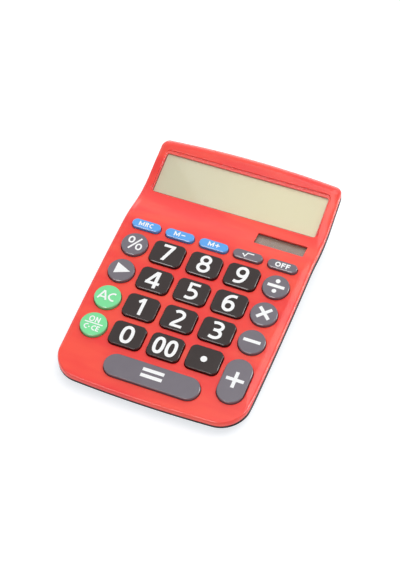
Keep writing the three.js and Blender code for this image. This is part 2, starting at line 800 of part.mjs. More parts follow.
function addRearCover() {
  let cover = rearShell();
  const raise = (geometry, x, y) => toSolid(moved(geometry, x, y), tableToDeck);
  const inside = floorThickness / 2;
  caseScrews.forEach(({ x, y, splitZ }) => {
    cover = cover.add(raise(post(rearPostRadius, floorBottomZ + inside, splitZ - seatGap / 2), x, y));
  });
  const pad = plate(doorPlan(wellWall), floorBottomZ + inside, floorTopZ + padThickness);
  cover = cover.add(toSolid(pad, tableToDeck));
  cover = cover.add(raise(post(wellRadius + wellWall, floorTopZ, wellTopZ, batterySides), batteryX, batteryY));

  caseScrews.forEach((screw) => {
    const { x, y, splitZ } = screw;
    const seatZ = screwSeatZ(screw) - seatGap;
    cover = cover.subtract(raise(post(screwHeadRadius + screwPlay, 0, Math.max(seatZ, floorBottomZ)), x, y));
    cover = cover.subtract(raise(post(screwShankRadius + screwPlay, 0, splitZ + overrun), x, y));
  });
  feet.forEach(({ x, y }) => {
    cover = cover.subtract(raise(post(footRadius + seatGap, 0, floorBottomZ + footSeat, footSides), x, y));
  });
  const recessTop = floorBottomZ + doorThickness + seatGap;
  cover = cover.subtract(toSolid(plate(doorPlan(seatGap), 0, recessTop), tableToDeck));
  cover = cover.subtract(raise(post(wellRadius, 0, wellTopZ + overrun, batterySides), batteryX, batteryY));
  const notch = post(doorNotchRadius, 0, floorBottomZ + doorThickness / 2);
  cover = cover.subtract(raise(notch, batteryX, batteryY - doorLength / 2));
  addMesh(deck, 'rear_cover', toGeometry(cover), materials.rear);
}

// Screws: the seat is at the screw's own origin and the shank points up
function addScrews() {
  caseScrews.forEach((screw) => {
    const mesh = addMesh(calculator, screw.name, screwGeometry(screw.length), materials.steel);
    mesh.position.set(screw.x, screw.y, screwSeatZ(screw) - 2 * seatGap);
  });
  boardScrews.forEach(({ name, x, s }) => {
    const mesh = addMesh(deck, name, screwGeometry(boardScrewLength), materials.steel);
    mesh.position.set(x, s, boardBottom - seatGap);
  });
}

// Display pane, panel, frame and flat cable
const panelTop = -ledgeThickness - seatGap;
const panelBottom = panelTop - panelThickness;

function addDisplay() {
  const pane = plate(recessShape(-seatGap), seatGap, seatGap + paneThickness);
  addMesh(display, 'display_window', pane, materials.clear);
  const panelShape = new THREE.Shape(apertureRect(panelLap));
  addMesh(display, 'lcd_panel', plate(panelShape, panelBottom, panelTop), materials.lcd);

  const lipTop = panelBottom - seatGap;
  const frameBottom = lipTop - frameLipThickness;
  const box = (grow, low, high) => toSolid(plate(new THREE.Shape(apertureRect(grow)), low, high));
  const block = toSolid(plate(roundedPolygon(apertureRect(frameReach), frameRadius), frameBottom, panelTop));
  const window = rectangle(-apertureHalf + frameLip, apertureHalf - frameLip,
    -overrun - ledgeFrontWidth, apertureBack - frameLip);
  const frame = block
    .subtract(box(panelBore, lipTop, panelTop + overrun))
    .subtract(toSolid(plate(new THREE.Shape(window), frameBottom - overrun, lipTop + overrun / 2)));
  addMesh(display, 'lcd_frame', toGeometry(frame), materials.frame);

  const toDeck = (v, w) => new THREE.Vector3(0, v, w).applyMatrix4(display.matrix);
  const under = boardBottom - seatGap - flexThickness;
  const glassUnder = panelBottom - seatGap - flexThickness;
  const start = new THREE.Vector3(0, boardBack - flexLap, under);
  const leave = new THREE.Vector3(0, boardBack, under);
  const arrive = toDeck(ledgeFrontWidth, glassUnder);
  const end = toDeck(ledgeFrontWidth + flexLap, glassUnder);
  const middle = leave.clone().lerp(arrive, 0.5).add(new THREE.Vector3(0, 0, -flexSag));
  const curve = new THREE.CatmullRomCurve3([start, leave, middle, arrive, end], false, 'centripetal');
  const line = curve.getSpacedPoints(flexSteps);
  const upper = line.map((p) => new THREE.Vector2(p.y, p.z + flexThickness));
  const lower = line.map((p) => new THREE.Vector2(p.y, p.z)).reverse();
  const ribbon = plate(new THREE.Shape([...upper, ...lower]), -flexWidth / 2, flexWidth / 2);
  const standUp = new THREE.Matrix4().makeBasis(
    new THREE.Vector3(0, 1, 0), new THREE.Vector3(0, 0, 1), new THREE.Vector3(1, 0, 0));
  ribbon.applyMatrix4(standUp);
  addMesh(deck, 'display_flex', ribbon, materials.flex);
}

function addSolar() {
  const paneTopW = -(solarRimThickness + seatGap);
  const paneLowW = paneTopW - solarPaneThickness;
  const cellTopW = paneLowW - seatGap;
  const shape = new THREE.Shape(solarRect(solarLap));
  addMesh(solar, 'solar_window', plate(shape, paneLowW, paneTopW), materials.clear);
  addMesh(solar, 'solar_cell', plate(shape, cellTopW - solarCellThickness, cellTopW), materials.solarCell);
}

// Rubber mat, board and chip
const boardRect = () => roundedPolygon(rectangle(-boardHalf, boardHalf, boardFront, boardBack), boardCornerRadius);

function domeSolid(topRadius, baseRadius, low, high) {
  const geometry = new THREE.CylinderGeometry(topRadius, baseRadius, high - low, domeSides);
  geometry.rotateX(Math.PI / 2);
  geometry.translate(0, 0, (low + high) / 2);
  return geometry;
}

function addMatAndBoard() {
  let mat = toSolid(plate(boardRect(), matBottom, matTop));
  const root = matThickness / 2;
  legendlessKeys.forEach(({ x, s }) => {
    mat = mat.add(toSolid(moved(domeSolid(domeTopRadius, domeBaseRadius, matTop - root, domeTop), x, s)));
  });
  legendlessKeys.forEach(({ x, s }) => {
    const hollow = domeSolid(domeTopRadius - domeWall / 2, domeBaseRadius - domeWall,
      matBottom - root, domeTop - domeWall);
    mat = mat.subtract(toSolid(moved(hollow, x, s)));
  });
  boardScrews.forEach(({ x, s }) => {
    const hole = post(boardPostRadius + seatGap, matBottom - overrun, matTop + overrun);
    mat = mat.subtract(toSolid(moved(hole, x, s)));
  });
  addMesh(deck, 'key_mat', toGeometry(mat), materials.rubber);

  let board = toSolid(plate(boardRect(), boardBottom, boardTop));
  boardScrews.forEach(({ x, s }) => {
    const hole = post(screwShankRadius + screwPlay, boardBottom - overrun, boardTop + overrun);
    board = board.subtract(toSolid(moved(hole, x, s)));
  });
  addMesh(deck, 'circuit_board', toGeometry(board), materials.board);

  const chip = domeSolid(chipRadius, chipRadius - chipHeight, -chipHeight, 0);
  const chipMesh = addMesh(deck, 'controller_chip', toGeometry(toSolid(chip)), materials.epoxy);
  chipMesh.position.set(0, chipRowShare * keyPitchS, boardBottom - seatGap);
}

// Battery, contacts, door and feet
function addBattery() {
  const batteryZ = floorBottomZ + doorThickness + seatGap;
  const cell = post(batteryRadius, 0, batteryHeight, batterySides);
  addMesh(calculator, 'battery', toGeometry(toSolid(cell)), materials.steel)
    .position.set(batteryX, batteryY, batteryZ);

  const strip = (left, right, low, high) => toSolid(plate(
    new THREE.Shape(rectangle(left, right, -contactWidth / 2, contactWidth / 2)), low, high));
  const rimZ = batteryHeight + seatGap;
  const reach = wellRadius + contactReach;
  const spring = strip(-reach, batteryRadius / 2, rimZ, rimZ + contactThickness);
  addMesh(calculator, 'battery_contact_spring', toGeometry(spring), materials.contact)
    .position.set(batteryX, batteryY, batteryZ);

  const leg = strip(contactSide, contactSide + contactThickness, seatGap, rimZ + contactThickness);
  const tab = strip(contactSide, reach, rimZ, rimZ + contactThickness);
  addMesh(calculator, 'battery_contact_plate', toGeometry(leg.add(tab)), materials.contact)
    .position.set(batteryX, batteryY, batteryZ);

  const door = plate(doorPlan(0), floorBottomZ, floorBottomZ + doorThickness);
  addMesh(calculator, 'battery_door', toGeometry(toSolid(door)), materials.rear);
}

function addFeet() {
  feet.forEach(({ name, x, y }) => {
    const foot = post(footRadius, 0, footHeight + footSeat - seatGap, footSides);
    addMesh(calculator, name, toGeometry(toSolid(foot)), materials.foot).position.set(x, y, 0);
  });
}

// Assembly
placeKeys();
addFrontCover();
addRearCover();
addKeys();
addDisplay();
addSolar();
addMatAndBoard();
addScrews();
addBattery();
addFeet();

// The origin goes under the middle of the part
const extent = new THREE.Box3().setFromObject(calculator, true);
const middleOfPart = extent.getCenter(new THREE.Vector3());
calculator.position.set(-middleOfPart.x, -middleOfPart.y, -extent.min.z);
calculator.updateMatrixWorld(true);

export default calculator;
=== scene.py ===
# A slim desktop calculator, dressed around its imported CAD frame.
# Shapes are worked out in millimetres on the key deck: x runs across, s runs up the deck from the
# row of the zero key, and n stands square to the deck's face, which is n = 0.

import math
from math import radians

import bmesh
import bpy
from mathutils import Matrix, Vector


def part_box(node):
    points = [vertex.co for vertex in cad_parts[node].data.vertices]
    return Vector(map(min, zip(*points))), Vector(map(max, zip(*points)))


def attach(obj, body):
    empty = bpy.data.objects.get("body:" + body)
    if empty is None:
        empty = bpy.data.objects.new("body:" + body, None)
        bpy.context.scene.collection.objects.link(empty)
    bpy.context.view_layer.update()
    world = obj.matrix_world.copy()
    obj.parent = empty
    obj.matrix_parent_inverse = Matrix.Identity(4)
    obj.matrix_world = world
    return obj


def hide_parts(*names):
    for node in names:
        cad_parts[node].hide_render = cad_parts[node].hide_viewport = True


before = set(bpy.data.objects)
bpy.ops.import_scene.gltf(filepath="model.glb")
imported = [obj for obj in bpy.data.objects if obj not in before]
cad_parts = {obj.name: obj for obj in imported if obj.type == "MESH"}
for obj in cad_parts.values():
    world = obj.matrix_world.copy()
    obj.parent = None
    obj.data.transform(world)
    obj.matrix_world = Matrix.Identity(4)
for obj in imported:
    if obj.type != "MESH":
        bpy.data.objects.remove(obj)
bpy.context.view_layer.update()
print("frame loaded")

mm = 0.001
caseBody = "case"

deck = {
    "tilt": 6.5,  # degrees against the table
    "originY": -46.818,  # where s = 0, n = 0 lies in the row frame
    "originZ": 12.415,
}

body = {
    "front": -31.8,
    "back": 125.508,
    "frontHalf": 50.6,
    "backHalf": 51.5,
    "frontRadius": 14,
    "backRadius": 4,
    "sideBulge": 0.85,
    "frontBow": 1.9,
    "backBow": 2.1,
    "frontSteps": 8,
    "frontCornerSteps": 18,
    "sideSteps": 170,
    "backCornerSteps": 12,
}

profile = {  # the upper face seen from the side
    "shoulderStart": 66.5,
    "shoulderRadius": 43,
    "shoulderAngle": 15,
    "slopeRun": 4.5,
    "waistRadius": 38,
    "headAngle": 16.7,
}

cover = {
    "wall": 1.8,
    "edgeRadius": 2.4,
    # how far from the outline the face starts to fall, how far it falls, and its form,
    # which is 1 for a quarter ellipse and 2 for a parabola
    "frontEdge": (0.9, 2.4, 1),
    "sideEdge": (4.8, 2.4, 1),
    "backEdge": (5, 2.75, 1.85),
    "edgeReach": 5.5,  # wide enough for every edge
    "innerBend": 0.3,  # where the hollow's edge turns, as a share of its width
    "frontEdgeEnd": (-22, -6),
    "backEdgeStart": (110, 119),
    "edgeSteps": 18,
    "skirt": 0.4,
    "lowerEdge": 0.05,
    "holeLip": 0.3,
    "holeLipSteps": 4,
    "holeCornerSteps": 10,
    "holeClearance": 0.25,
}

rear = {
    "wall": 1.8,
    "seam": 0.3,
    "seamEdge": 0.15,
    "band": 3.7,
    "bandFront": 1.6,
    "bandBlend": 25,
    "bandEdge": 0.3,  # where the band starts to round in, over its lower end
    "undercut": 0.15,
    "undercutDrop": 0.09,
    "undercutSteps": 4,
    "hollowRise": 0.6,
    "tubSteps": 10,
    "tubShare": 0.96,  # the tub's wall is straight this far down and then rounds into the floor
    "floorZ": 1.2,
    "floorThickness": 1.6,
    "floorFrontInset": 3.5,
    "floorSideInset": 4,
    "floorBackInset": 9,
    "floorFrontRadius": 10,
    "floorBackRadius": 6,
    "floorEdge": 1.2,
    "floorEdgeSteps": 5,
    "lipHeight": 0.6,
    "lipThickness": 0.8,
    "lipPlay": 0.3,
    "lipRoot": 1.6,
    "rootOverlap": 0.3,  # how far the lip's root reaches into the wall
    "rootDrop": 0.02,
}

display = {
    "angle": 13.3,
    "frontStep": 0.8,
    "frontWidth": 94.6,
    "backWidth": 93.6,
    "length": 26.2,
    "radius": 2.6,
    "cornerSteps": 14,
    "seatWall": 1,
    "seatCornerSteps": 8,
    "ledgeSide": 0.6,
    "ledgeBack": 1.8,
    "ledgeFront": 0.4,
    "ledgeThickness": 1,
    "ledgeGap": 0.04,  # keeps the ledge just clear of the pane's underside
    "wallFoot": 0.2,  # the recess wall's rounded foot
    "frameReach": 1.9,
    "framePlay": 0.3,
    "apertureRadius": 1.6,
    "shadeLineBorder": (45.9, 1.1, 24.28),  # half width, front and back, beyond which the glass shows a dark brown line, painted shade under the ledge
    # painted shade: beyond this border the display pane is tinted dark red, for the shaded recess wall and gap
    "paneShadeEdges": (46.6, -1, 25.7),
    "paintedReflectionRise": (-50, 20),  # across, from the greyer to the creamier end; the greyer left is a painted reflection
    "faceLip": 0.35,
    "faceLipSteps": 5,
    "ledgeLip": 0.08,
    "ledgeLipSteps": 4,
}

solar = {
    "x": 31.5,
    "shift": 0.7,
    "width": 27,
    "depth": 8.5,
    "radius": 0.5,
    "cornerSteps": 5,
    "lip": 0.12,
    "lipSteps": 3,
    "rimThickness": 0.5,
    "paneRoom": 0.9,
    "cellPitch": 7,
    "lineShare": 0.035,
}


deckMatrix = (
    Matrix.Translation((0, deck["originY"] * mm, deck["originZ"] * mm))
    @ Matrix.Rotation(radians(deck["tilt"]), 4, "X")
    @ Matrix.Scale(mm, 4)
)
tableMatrix = Matrix.Scale(mm, 4)


# Side profile of the upper face
dip = radians(profile["shoulderAngle"])
rise = radians(profile["headAngle"])
shoulderEndS = profile["shoulderStart"] + profile["shoulderRadius"] * math.sin(dip)
shoulderEndN = -profile["shoulderRadius"] * (1 - math.cos(dip))
waistStartS = shoulderEndS + profile["slopeRun"] * math.cos(dip)
waistStartN = shoulderEndN - profile["slopeRun"] * math.sin(dip)
waistCentreS = waistStartS + profile["waistRadius"] * math.sin(dip)
waistCentreN = waistStartN + profile["waistRadius"] * math.cos(dip)
waistEndS = waistCentreS + profile["waistRadius"] * math.sin(rise)
waistEndN = waistCentreN - profile["waistRadius"] * math.cos(rise)


def faceHeight(s):
    if s <= profile["shoulderStart"]:
        return 0
    if s <= shoulderEndS:
        radius = profile["shoulderRadius"]
        return math.sqrt(radius ** 2 - (s - profile["shoulderStart"]) ** 2) - radius
    if s <= waistStartS:
        return shoulderEndN - (s - shoulderEndS) * math.tan(dip)
    if s <= waistEndS:
        return waistCentreN - math.sqrt(profile["waistRadius"] ** 2 - (s - waistCentreS) ** 2)
    return waistEndN + (s - waistEndS) * math.tan(rise)


displayAngle = radians(display["angle"])
displayOrigin = (waistCentreS, faceHeight(waistCentreS) - display["frontStep"])


def displayToDeck(u, v, w):
    return (u, displayOrigin[0] + v * math.cos(displayAngle) - w * math.sin(displayAngle),
            displayOrigin[1] + v * math.sin(displayAngle) + w * math.cos(displayAngle))


def mix(a, b, t):
    return a + (b - a) * t


def easedShare(t):
    t = min(1, max(0, t))
    return t * t * (3 - 2 * t)


# Body outline
floorShape = {
    **body,
    "front": body["front"] + rear["floorFrontInset"],
    "back": body["back"] - rear["floorBackInset"],
    "frontHalf": body["frontHalf"] - rear["floorSideInset"],
    "backHalf": body["backHalf"] - rear["floorBackInset"],
    "frontRadius": rear["floorFrontRadius"],
    "backRadius": rear["floorBackRadius"],
}
quarterCircleHandle = 0.5523


def cornerCurve(start, startWay, end, endWay, reach, steps):
    a, d = Vector(start), Vector(end)
    b = a + Vector(startWay).normalized() * reach * quarterCircleHandle
    c = d - Vector(endWay).normalized() * reach * quarterCircleHandle
    points = []
    for i in range(1, steps):
        t = i / steps
        u = 1 - t
        points.append(a * u ** 3 + b * 3 * u * u * t + c * 3 * u * t * t + d * t ** 3)
    return [(p.x, p.y) for p in points]


# Front middle to back middle, on the right-hand side
def halfOutline(shape, inset):
    frontRadius = max(shape["frontRadius"] - inset, 1)
    backRadius = max(shape["backRadius"] - inset, 1)
    sideStart = shape["front"] + inset + shape["frontBow"] + frontRadius
    sideEnd = shape["back"] - inset - shape["backBow"] - backRadius

    def half(s):
        t = (s - sideStart) / (sideEnd - sideStart)
        bulge = shape["sideBulge"] * (1 - (2 * t - 1) ** 2)
        return mix(shape["frontHalf"], shape["backHalf"], t) - inset + bulge

    def frontS(x):
        return shape["front"] + inset + shape["frontBow"] * (x / half(sideStart)) ** 2

    def backS(x):
        return shape["back"] - inset - shape["backBow"] * (x / half(sideEnd)) ** 2

    def slope(f, at):
        return (f(at + 0.1) - f(at - 0.1)) / 0.2

    frontX = half(sideStart) - frontRadius
    backX = half(sideEnd) - backRadius
    steps = shape["frontSteps"]
    front = [(frontX * i / steps, frontS(frontX * i / steps)) for i in range(steps + 1)]
    side = []
    for i in range(shape["sideSteps"] + 1):
        s = mix(sideStart, sideEnd, i / shape["sideSteps"])
        side.append((half(s), s))
    back = [(backX * (1 - i / steps), backS(backX * (1 - i / steps))) for i in range(steps + 1)]
    frontCorner = cornerCurve(front[-1], (1, slope(frontS, frontX)), side[0], (slope(half, sideStart), 1),
                              frontRadius, shape["frontCornerSteps"])
    backCorner = cornerCurve(side[-1], (slope(half, sideEnd), 1), back[0], (-1, -slope(backS, backX)),
                             backRadius, shape["backCornerSteps"])
    return front + frontCorner + side + backCorner + back


# Walls between two closed loops of points, by the numbers of their first points
def wallFaces(top, low, count):
    return [(top + j, low + j, low + (j + 1) % count, top + (j + 1) % count) for j in range(count)]


# Levels, highest first, are the right-hand halves of rings, mirrored here and closed by strips across
def halfLevelMesh(name, levels):
    count = len(levels[0])
    around = 2 * count - 2
    points = []
    for level in levels:
        points += level + [(-x, s, n) for x, s, n in reversed(level[1:-1])]
    faces = []
    for k in range(len(levels) - 1):
        faces += wallFaces(k * around, (k + 1) * around, around)
    last = (len(levels) - 1) * around
    for i in range(count - 1):
        strip = list(dict.fromkeys([i, i + 1, (around - i - 1) % around, (around - i) % around]))
        faces.append(tuple(strip))
        faces.append(tuple(last + v for v in reversed(strip)))
    return newObject(name, points, faces)


# A ring is (half outline, height of s)
def ringLevels(rings):
    return [[(x, s, height(s)) for x, s in half] for half, height in rings]


def ringMesh(name, rings):
    return halfLevelMesh(name, ringLevels(rings))


# Mesh helpers
def newObject(name, points, faces):
    mesh = bpy.data.meshes.new(name)
    mesh.from_pydata([tuple(p) for p in points], [], faces)
    mesh.update()
    obj = bpy.data.objects.new(name, mesh)
    bpy.context.scene.collection.objects.link(obj)
    return obj


# Turns the evaluated object into its own plain mesh and removes the modifiers
def bake(obj):
    graph = bpy.context.evaluated_depsgraph_get()
    mesh = bpy.data.meshes.new_from_object(obj.evaluated_get(graph))
    obj.modifiers.clear()
    old = obj.data
    obj.data = mesh
    mesh.name = obj.name
    if old.users == 0:
        bpy.data.meshes.remove(old)
    return obj


def outward(obj):
    mesh = bmesh.new()
    mesh.from_mesh(obj.data)
    bmesh.ops.recalc_face_normals(mesh, faces=mesh.faces)
    mesh.to_mesh(obj.data)
    mesh.free()


def remove(obj):
    mesh = obj.data
    bpy.data.objects.remove(obj)
    bpy.data.meshes.remove(mesh)


# Joins or cuts with another closed solid and uses it up
def combine(obj, other, operation):
    modifier = obj.modifiers.new(operation, "BOOLEAN")
    modifier.operation = operation
    modifier.solver = "MANIFOLD"
    modifier.object = other
    bake(obj)
    remove(other)


# Several separate closed shells as one object
def merged(name, parts):
    mesh = bmesh.new()
    for part in parts:
        mesh.from_mesh(part.data)
        remove(part)
    data = bpy.data.meshes.new(name)
    mesh.to_mesh(data)
    mesh.free()
    obj = bpy.data.objects.new(name, data)
    bpy.context.scene.collection.objects.link(obj)
    return obj


mergeDistance = 0.0005  # millimetres


# Clean, smooth-shaded and placed piece on its body
def finishPiece(obj, matrix, material, bodyName, nodes=(), sharpAngle=35, weighted=True):
    mesh = bmesh.new()
    mesh.from_mesh(obj.data)
    bmesh.ops.remove_doubles(mesh, verts=mesh.verts, dist=mergeDistance)
    bmesh.ops.dissolve_degenerate(mesh, edges=mesh.edges, dist=mergeDistance)
    bmesh.ops.recalc_face_normals(mesh, faces=mesh.faces)
    for face in mesh.faces:
        face.smooth = True
    for edge in mesh.edges:
        edge.smooth = edge.calc_face_angle(math.pi) < radians(sharpAngle)
    mesh.to_mesh(obj.data)
    mesh.free()
    if weighted:
        modifier = obj.modifiers.new("flat faces first", "WEIGHTED_NORMAL")
        modifier.keep_sharp = True
        modifier.weight = 100
        bake(obj)
    obj.data.transform(matrix)
    obj.data.materials.clear()
    obj.data.materials.append(material)
    for polygon in obj.data.polygons:
        polygon.material_index = 0
    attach(obj, bodyName)
    if nodes:
        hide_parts(*nodes)


# Node helpers
def hexColour(code):
    channels = [int(code[i:i + 2], 16) / 255 for i in (1, 3, 5)]
    return tuple(c / 12.92 if c <= 0.04045 else ((c + 0.055) / 1.055) ** 2.4 for c in channels) + (1.0,)


# Adds a node with its settings; an input is a value or the socket that feeds it
def addNode(tree, kind, inputs=None, **settings):
    node = tree.nodes.new(kind)
    for name, value in settings.items():
        setattr(node, name, value)
    for name, value in (inputs or {}).items():
        if isinstance(value, bpy.types.NodeSocket):
            tree.links.new(value, node.inputs[name])
        else:
            node.inputs[name].default_value = value
    return node


# Result of a maths node
def calculated(tree, operation, *values):
    return addNode(tree, "ShaderNodeMath", dict(enumerate(values)), operation=operation).outputs[0]


# A material, its tree and the place on the object, in metres
def newMaterial(name):
    material = bpy.data.materials.new(name)
    material.use_nodes = True
    tree = material.node_tree
    tree.nodes.clear()
    return material, tree, addNode(tree, "ShaderNodeTexCoord").outputs["Object"]


def patternScale(sizeMm):
    return 1 / (sizeMm * mm)  # Object coordinates are metres


def noise(tree, place, sizeMm, detail=3.0, **inputs):
    return addNode(tree, "ShaderNodeTexNoise",
                   {"Vector": place, "Scale": patternScale(sizeMm), "Detail": detail, **inputs}).outputs


# Value on a scale from start to end, mapped to one from low to high
def ranged(tree, value, start=0, end=1, low=0, high=1, **settings):
    return addNode(tree, "ShaderNodeMapRange",
                   {"Value": value, "From Min": start, "From Max": end, "To Min": low, "To Max": high},
                   **settings).outputs["Result"]


# Each colour is a code or the socket that gives it
def mixedColour(tree, factor, a, b, **settings):
    a, b = [hexColour(colour) if isinstance(colour, str) else colour for colour in (a, b)]
    return addNode(tree, "ShaderNodeMix", {"Factor": factor, "A": a, "B": b}, data_type="RGBA",
                   **settings).outputs["Result"]


def surfaced(tree, values):
    shader = addNode(tree, "ShaderNodeBsdfPrincipled", values)
    addNode(tree, "ShaderNodeOutputMaterial", {"Surface": shader.outputs["BSDF"]})


flowTurn = 0.35  # radians, so that flow marks run aslant


# Injection-moulded plastic: slightly uneven colour, uneven gloss and a fine skin
def mouldedPlastic(look):
    material, tree, place = newMaterial(look["name"])
    flow = addNode(tree, "ShaderNodeMapping",
                   {"Vector": place, "Scale": look.get("flow", (1, 1, 1)), "Rotation": (0, 0, flowTurn)})
    mottle = noise(tree, flow.outputs["Vector"], look["mottleMm"], 2.0)["Fac"]
    share = ranged(tree, mottle, *look.get("mottleRange", (0.2, 0.8)))
    colour = mixedColour(tree, share, look["colour"], look["colourB"])
    skin = noise(tree, place, look["skinMm"], Roughness=0.6)["Fac"]
    gloss = ranged(tree, skin, 0.3, 0.7, *look["roughness"])
    bump = addNode(tree, "ShaderNodeBump",
                   {"Height": skin, "Strength": look["bump"], "Distance": look["skinDepthMm"] * mm})
    surfaced(tree, {"Base Color": colour, "Roughness": gloss, "Normal": bump.outputs["Normal"],
                    "IOR": look["ior"], "Specular IOR Level": look.get("specular", 0.5)})
    return material


# Materials
# ABS, gloss moulded: strong coral red with faint flow marks under a smooth skin
redAbs = mouldedPlastic({
    "name": "ABS gloss moulded coral red", "colour": "#F8322C", "colourB": "#FF4A36", "mottleMm": 45,
    "flow": (1, 4, 4), "mottleRange": (0.38, 0.62),
    "skinMm": 2.2, "skinDepthMm": 0.02, "bump": 0.1, "roughness": (0.2, 0.27), "ior": 1.53})
# ABS, satin moulded: dark grey-brown with a fine spark-eroded grain, drawn coarser so that it shows;
# the grain scatters reflections, so its index is set low
darkAbs = mouldedPlastic({
    "name": "ABS satin spark-eroded dark grey", "colour": "#231A1B", "colourB": "#2B2223", "mottleMm": 18,
    "skinMm": 0.7, "skinDepthMm": 0.04, "bump": 0.35, "roughness": (0.55, 0.7), "ior": 1.25, "specular": 0.4})
# Key plastic, lightly glossy: warm black
blackKeyAbs = mouldedPlastic({
    "name": "ABS satin moulded warm black", "colour": "#2A1F1E", "colourB": "#302523", "mottleMm": 9,
    "skinMm": 0.5, "skinDepthMm": 0.02, "bump": 0.12, "roughness": (0.14, 0.2), "ior": 1.45})


# Key plastic, semi-gloss, in the colours of the keys at the sides
def keyPlastic(colourName, colour, colourB):
    return mouldedPlastic({
        "name": "ABS semi-gloss moulded " + colourName, "colour": colour, "colourB": colourB, "mottleMm": 9,
        "skinMm": 0.6, "skinDepthMm": 0.02, "bump": 0.08, "roughness": (0.18, 0.25), "ior": 1.5})


greyKeyAbs = keyPlastic("cool grey", "#6F6972", "#756F78")
greenKeyAbs = keyPlastic("light green", "#7AE19A", "#80E6A0")
blueKeyAbs = keyPlastic("sky blue", "#58A5EF", "#60AAF2")
# Pad-printing ink: opaque white, thin and slightly uneven
whiteInk = mouldedPlastic({
    "name": "pad-printed white ink", "colour": "#FAFAFA", "colourB": "#F4F5F6", "mottleMm": 3,
    "skinMm": 0.4, "skinDepthMm": 0.01, "bump": 0.1, "roughness": (0.35, 0.5), "ior": 1.5})
# Polystyrene, satin white: the frame that holds the display
whitePs = mouldedPlastic({
    "name": "polystyrene satin white", "colour": "#E4E2DC", "colourB": "#EAE8E2", "mottleMm": 10,
    "skinMm": 0.8, "skinDepthMm": 0.02, "bump": 0.2, "roughness": (0.4, 0.5), "ior": 1.55})
# Silicone rubber, matt: waxy light grey
siliconeRubber = mouldedPlastic({
    "name": "silicone rubber matt light grey", "colour": "#CFCFC8", "colourB": "#D6D6CF", "mottleMm": 6,
    "skinMm": 0.5, "skinDepthMm": 0.02, "bump": 0.2, "roughness": (0.6, 0.75), "ior": 1.42})
# Nitrile rubber, matt black: slightly dusty feet
footRubber = mouldedPlastic({
    "name": "nitrile rubber matt black", "colour": "#1E1D1D", "colourB": "#2A2928", "mottleMm": 2.5,
    "skinMm": 0.35, "skinDepthMm": 0.05, "bump": 0.5, "roughness": (0.7, 0.9), "ior": 1.52})
# Epoxy, gloss black: the poured blob over the chip
blackEpoxy = mouldedPlastic({
    "name": "epoxy poured black", "colour": "#0E0E0F", "colourB": "#141414", "mottleMm": 4,
    "skinMm": 2.5, "skinDepthMm": 0.1, "bump": 0.4, "roughness": (0.12, 0.25), "ior": 1.55})
# Polyimide film: amber; its tracks are too fine to draw
polyimideFilm = mouldedPlastic({
    "name": "polyimide film amber", "colour": "#B5702A", "colourB": "#C27C33", "mottleMm": 3,
    "skinMm": 1.5, "skinDepthMm": 0.02, "bump": 0.2, "roughness": (0.25, 0.35), "ior": 1.7})


# 1 beyond a border on the display's plane: half its width at v = 0, its front and its back
def beyondBorder(tree, place, half, front, back):
    slant = radians(display["angle"] + deck["tilt"])
    upwards = Vector((0, math.cos(slant), math.sin(slant)))
    along = addNode(tree, "ShaderNodeVectorMath", {0: place, 1: upwards},
                    operation="DOT_PRODUCT").outputs["Value"]
    start = (deckMatrix @ Vector(displayToDeck(0, 0, 0))).dot(upwards)
    split = addNode(tree, "ShaderNodeSeparateXYZ", {"Vector": place})
    aside = calculated(tree, "ABSOLUTE", split.outputs["X"])
    mask = calculated(tree, "GREATER_THAN", aside, half * mm)
    for limit, operation in ((start + front * mm, "LESS_THAN"), (start + back * mm, "GREATER_THAN")):
        mask = calculated(tree, "MAXIMUM", mask, calculated(tree, operation, along, limit))
    return mask


# Cast acrylic, polished: clear, it adds a faint veil and its gloss; a given border paints a dark red tint over the
# pane's edges, painted shade standing for the shaded recess wall and gap
def acrylicPane(name, paintedShadeEdges=None):
    material, tree, place = newMaterial(name)
    veil = ranged(tree, noise(tree, place, 25, 2.0)["Fac"], low=0.015, high=0.03)
    # painted shade: the pane's edges are tinted dark red and made partly opaque, as the shaded recess wall and gap
    # would look
    paneShadeMask = beyondBorder(tree, place, *paintedShadeEdges) if paintedShadeEdges else 0.0
    alpha = calculated(tree, "MULTIPLY_ADD", paneShadeMask, 0.3, veil)
    surfaced(tree, {"Base Color": mixedColour(tree, paneShadeMask, "#F2F5F1", "#D82A22"), "Roughness": 0.03,
                    "IOR": 1.49, "Alpha": alpha})
    return material


# Display glass over its reflector: olive-cream, a little greyer towards the left as a painted reflection, with a dark
# brown line along its edges as painted shade from the ledge
def displayGlass():
    material, tree, place = newMaterial("liquid crystal display glass over matt reflector")
    split = addNode(tree, "ShaderNodeSeparateXYZ", {"Vector": place})
    # painted shade: a dark brown line along the glass's edges, where the ledge shades it
    paintedShadeLine = beyondBorder(tree, place, *display["shadeLineBorder"])
    # painted reflection: the glass is painted greyer towards the left
    across = ranged(tree, split.outputs["X"], *[x * mm for x in display["paintedReflectionRise"]])
    base = mixedColour(tree, across, "#C9C5A6", "#DFD8AE")
    grain = noise(tree, place, 0.5, 1.0)["Color"]
    speck = mixedColour(tree, 0.03, base, grain, blend_type="OVERLAY")
    surfaced(tree, {"Base Color": mixedColour(tree, paintedShadeLine, speck, "#8A3A22"), "Roughness": 0.55, "IOR": 1.5,
                    "Coat Weight": 0.6, "Coat Roughness": 0.04})
    return material


# Amorphous silicon on glass: brown strips between hair-thin scribed lines
def solarGlass():
    material, tree, place = newMaterial("amorphous silicon film on glass")
    split = addNode(tree, "ShaderNodeSeparateXYZ", {"Vector": place})
    cells = calculated(tree, "MULTIPLY", split.outputs["X"], patternScale(solar["cellPitch"]))
    line = calculated(tree, "LESS_THAN", calculated(tree, "FRACT", cells), solar["lineShare"])
    film = mixedColour(tree, noise(tree, place, 14)["Fac"], "#765E4D", "#836959")
    surfaced(tree, {"Base Color": mixedColour(tree, line, film, "#8A725F"), "Roughness": 0.35, "IOR": 1.5,
                    "Coat Weight": 0.7, "Coat Roughness": 0.05})
    return material


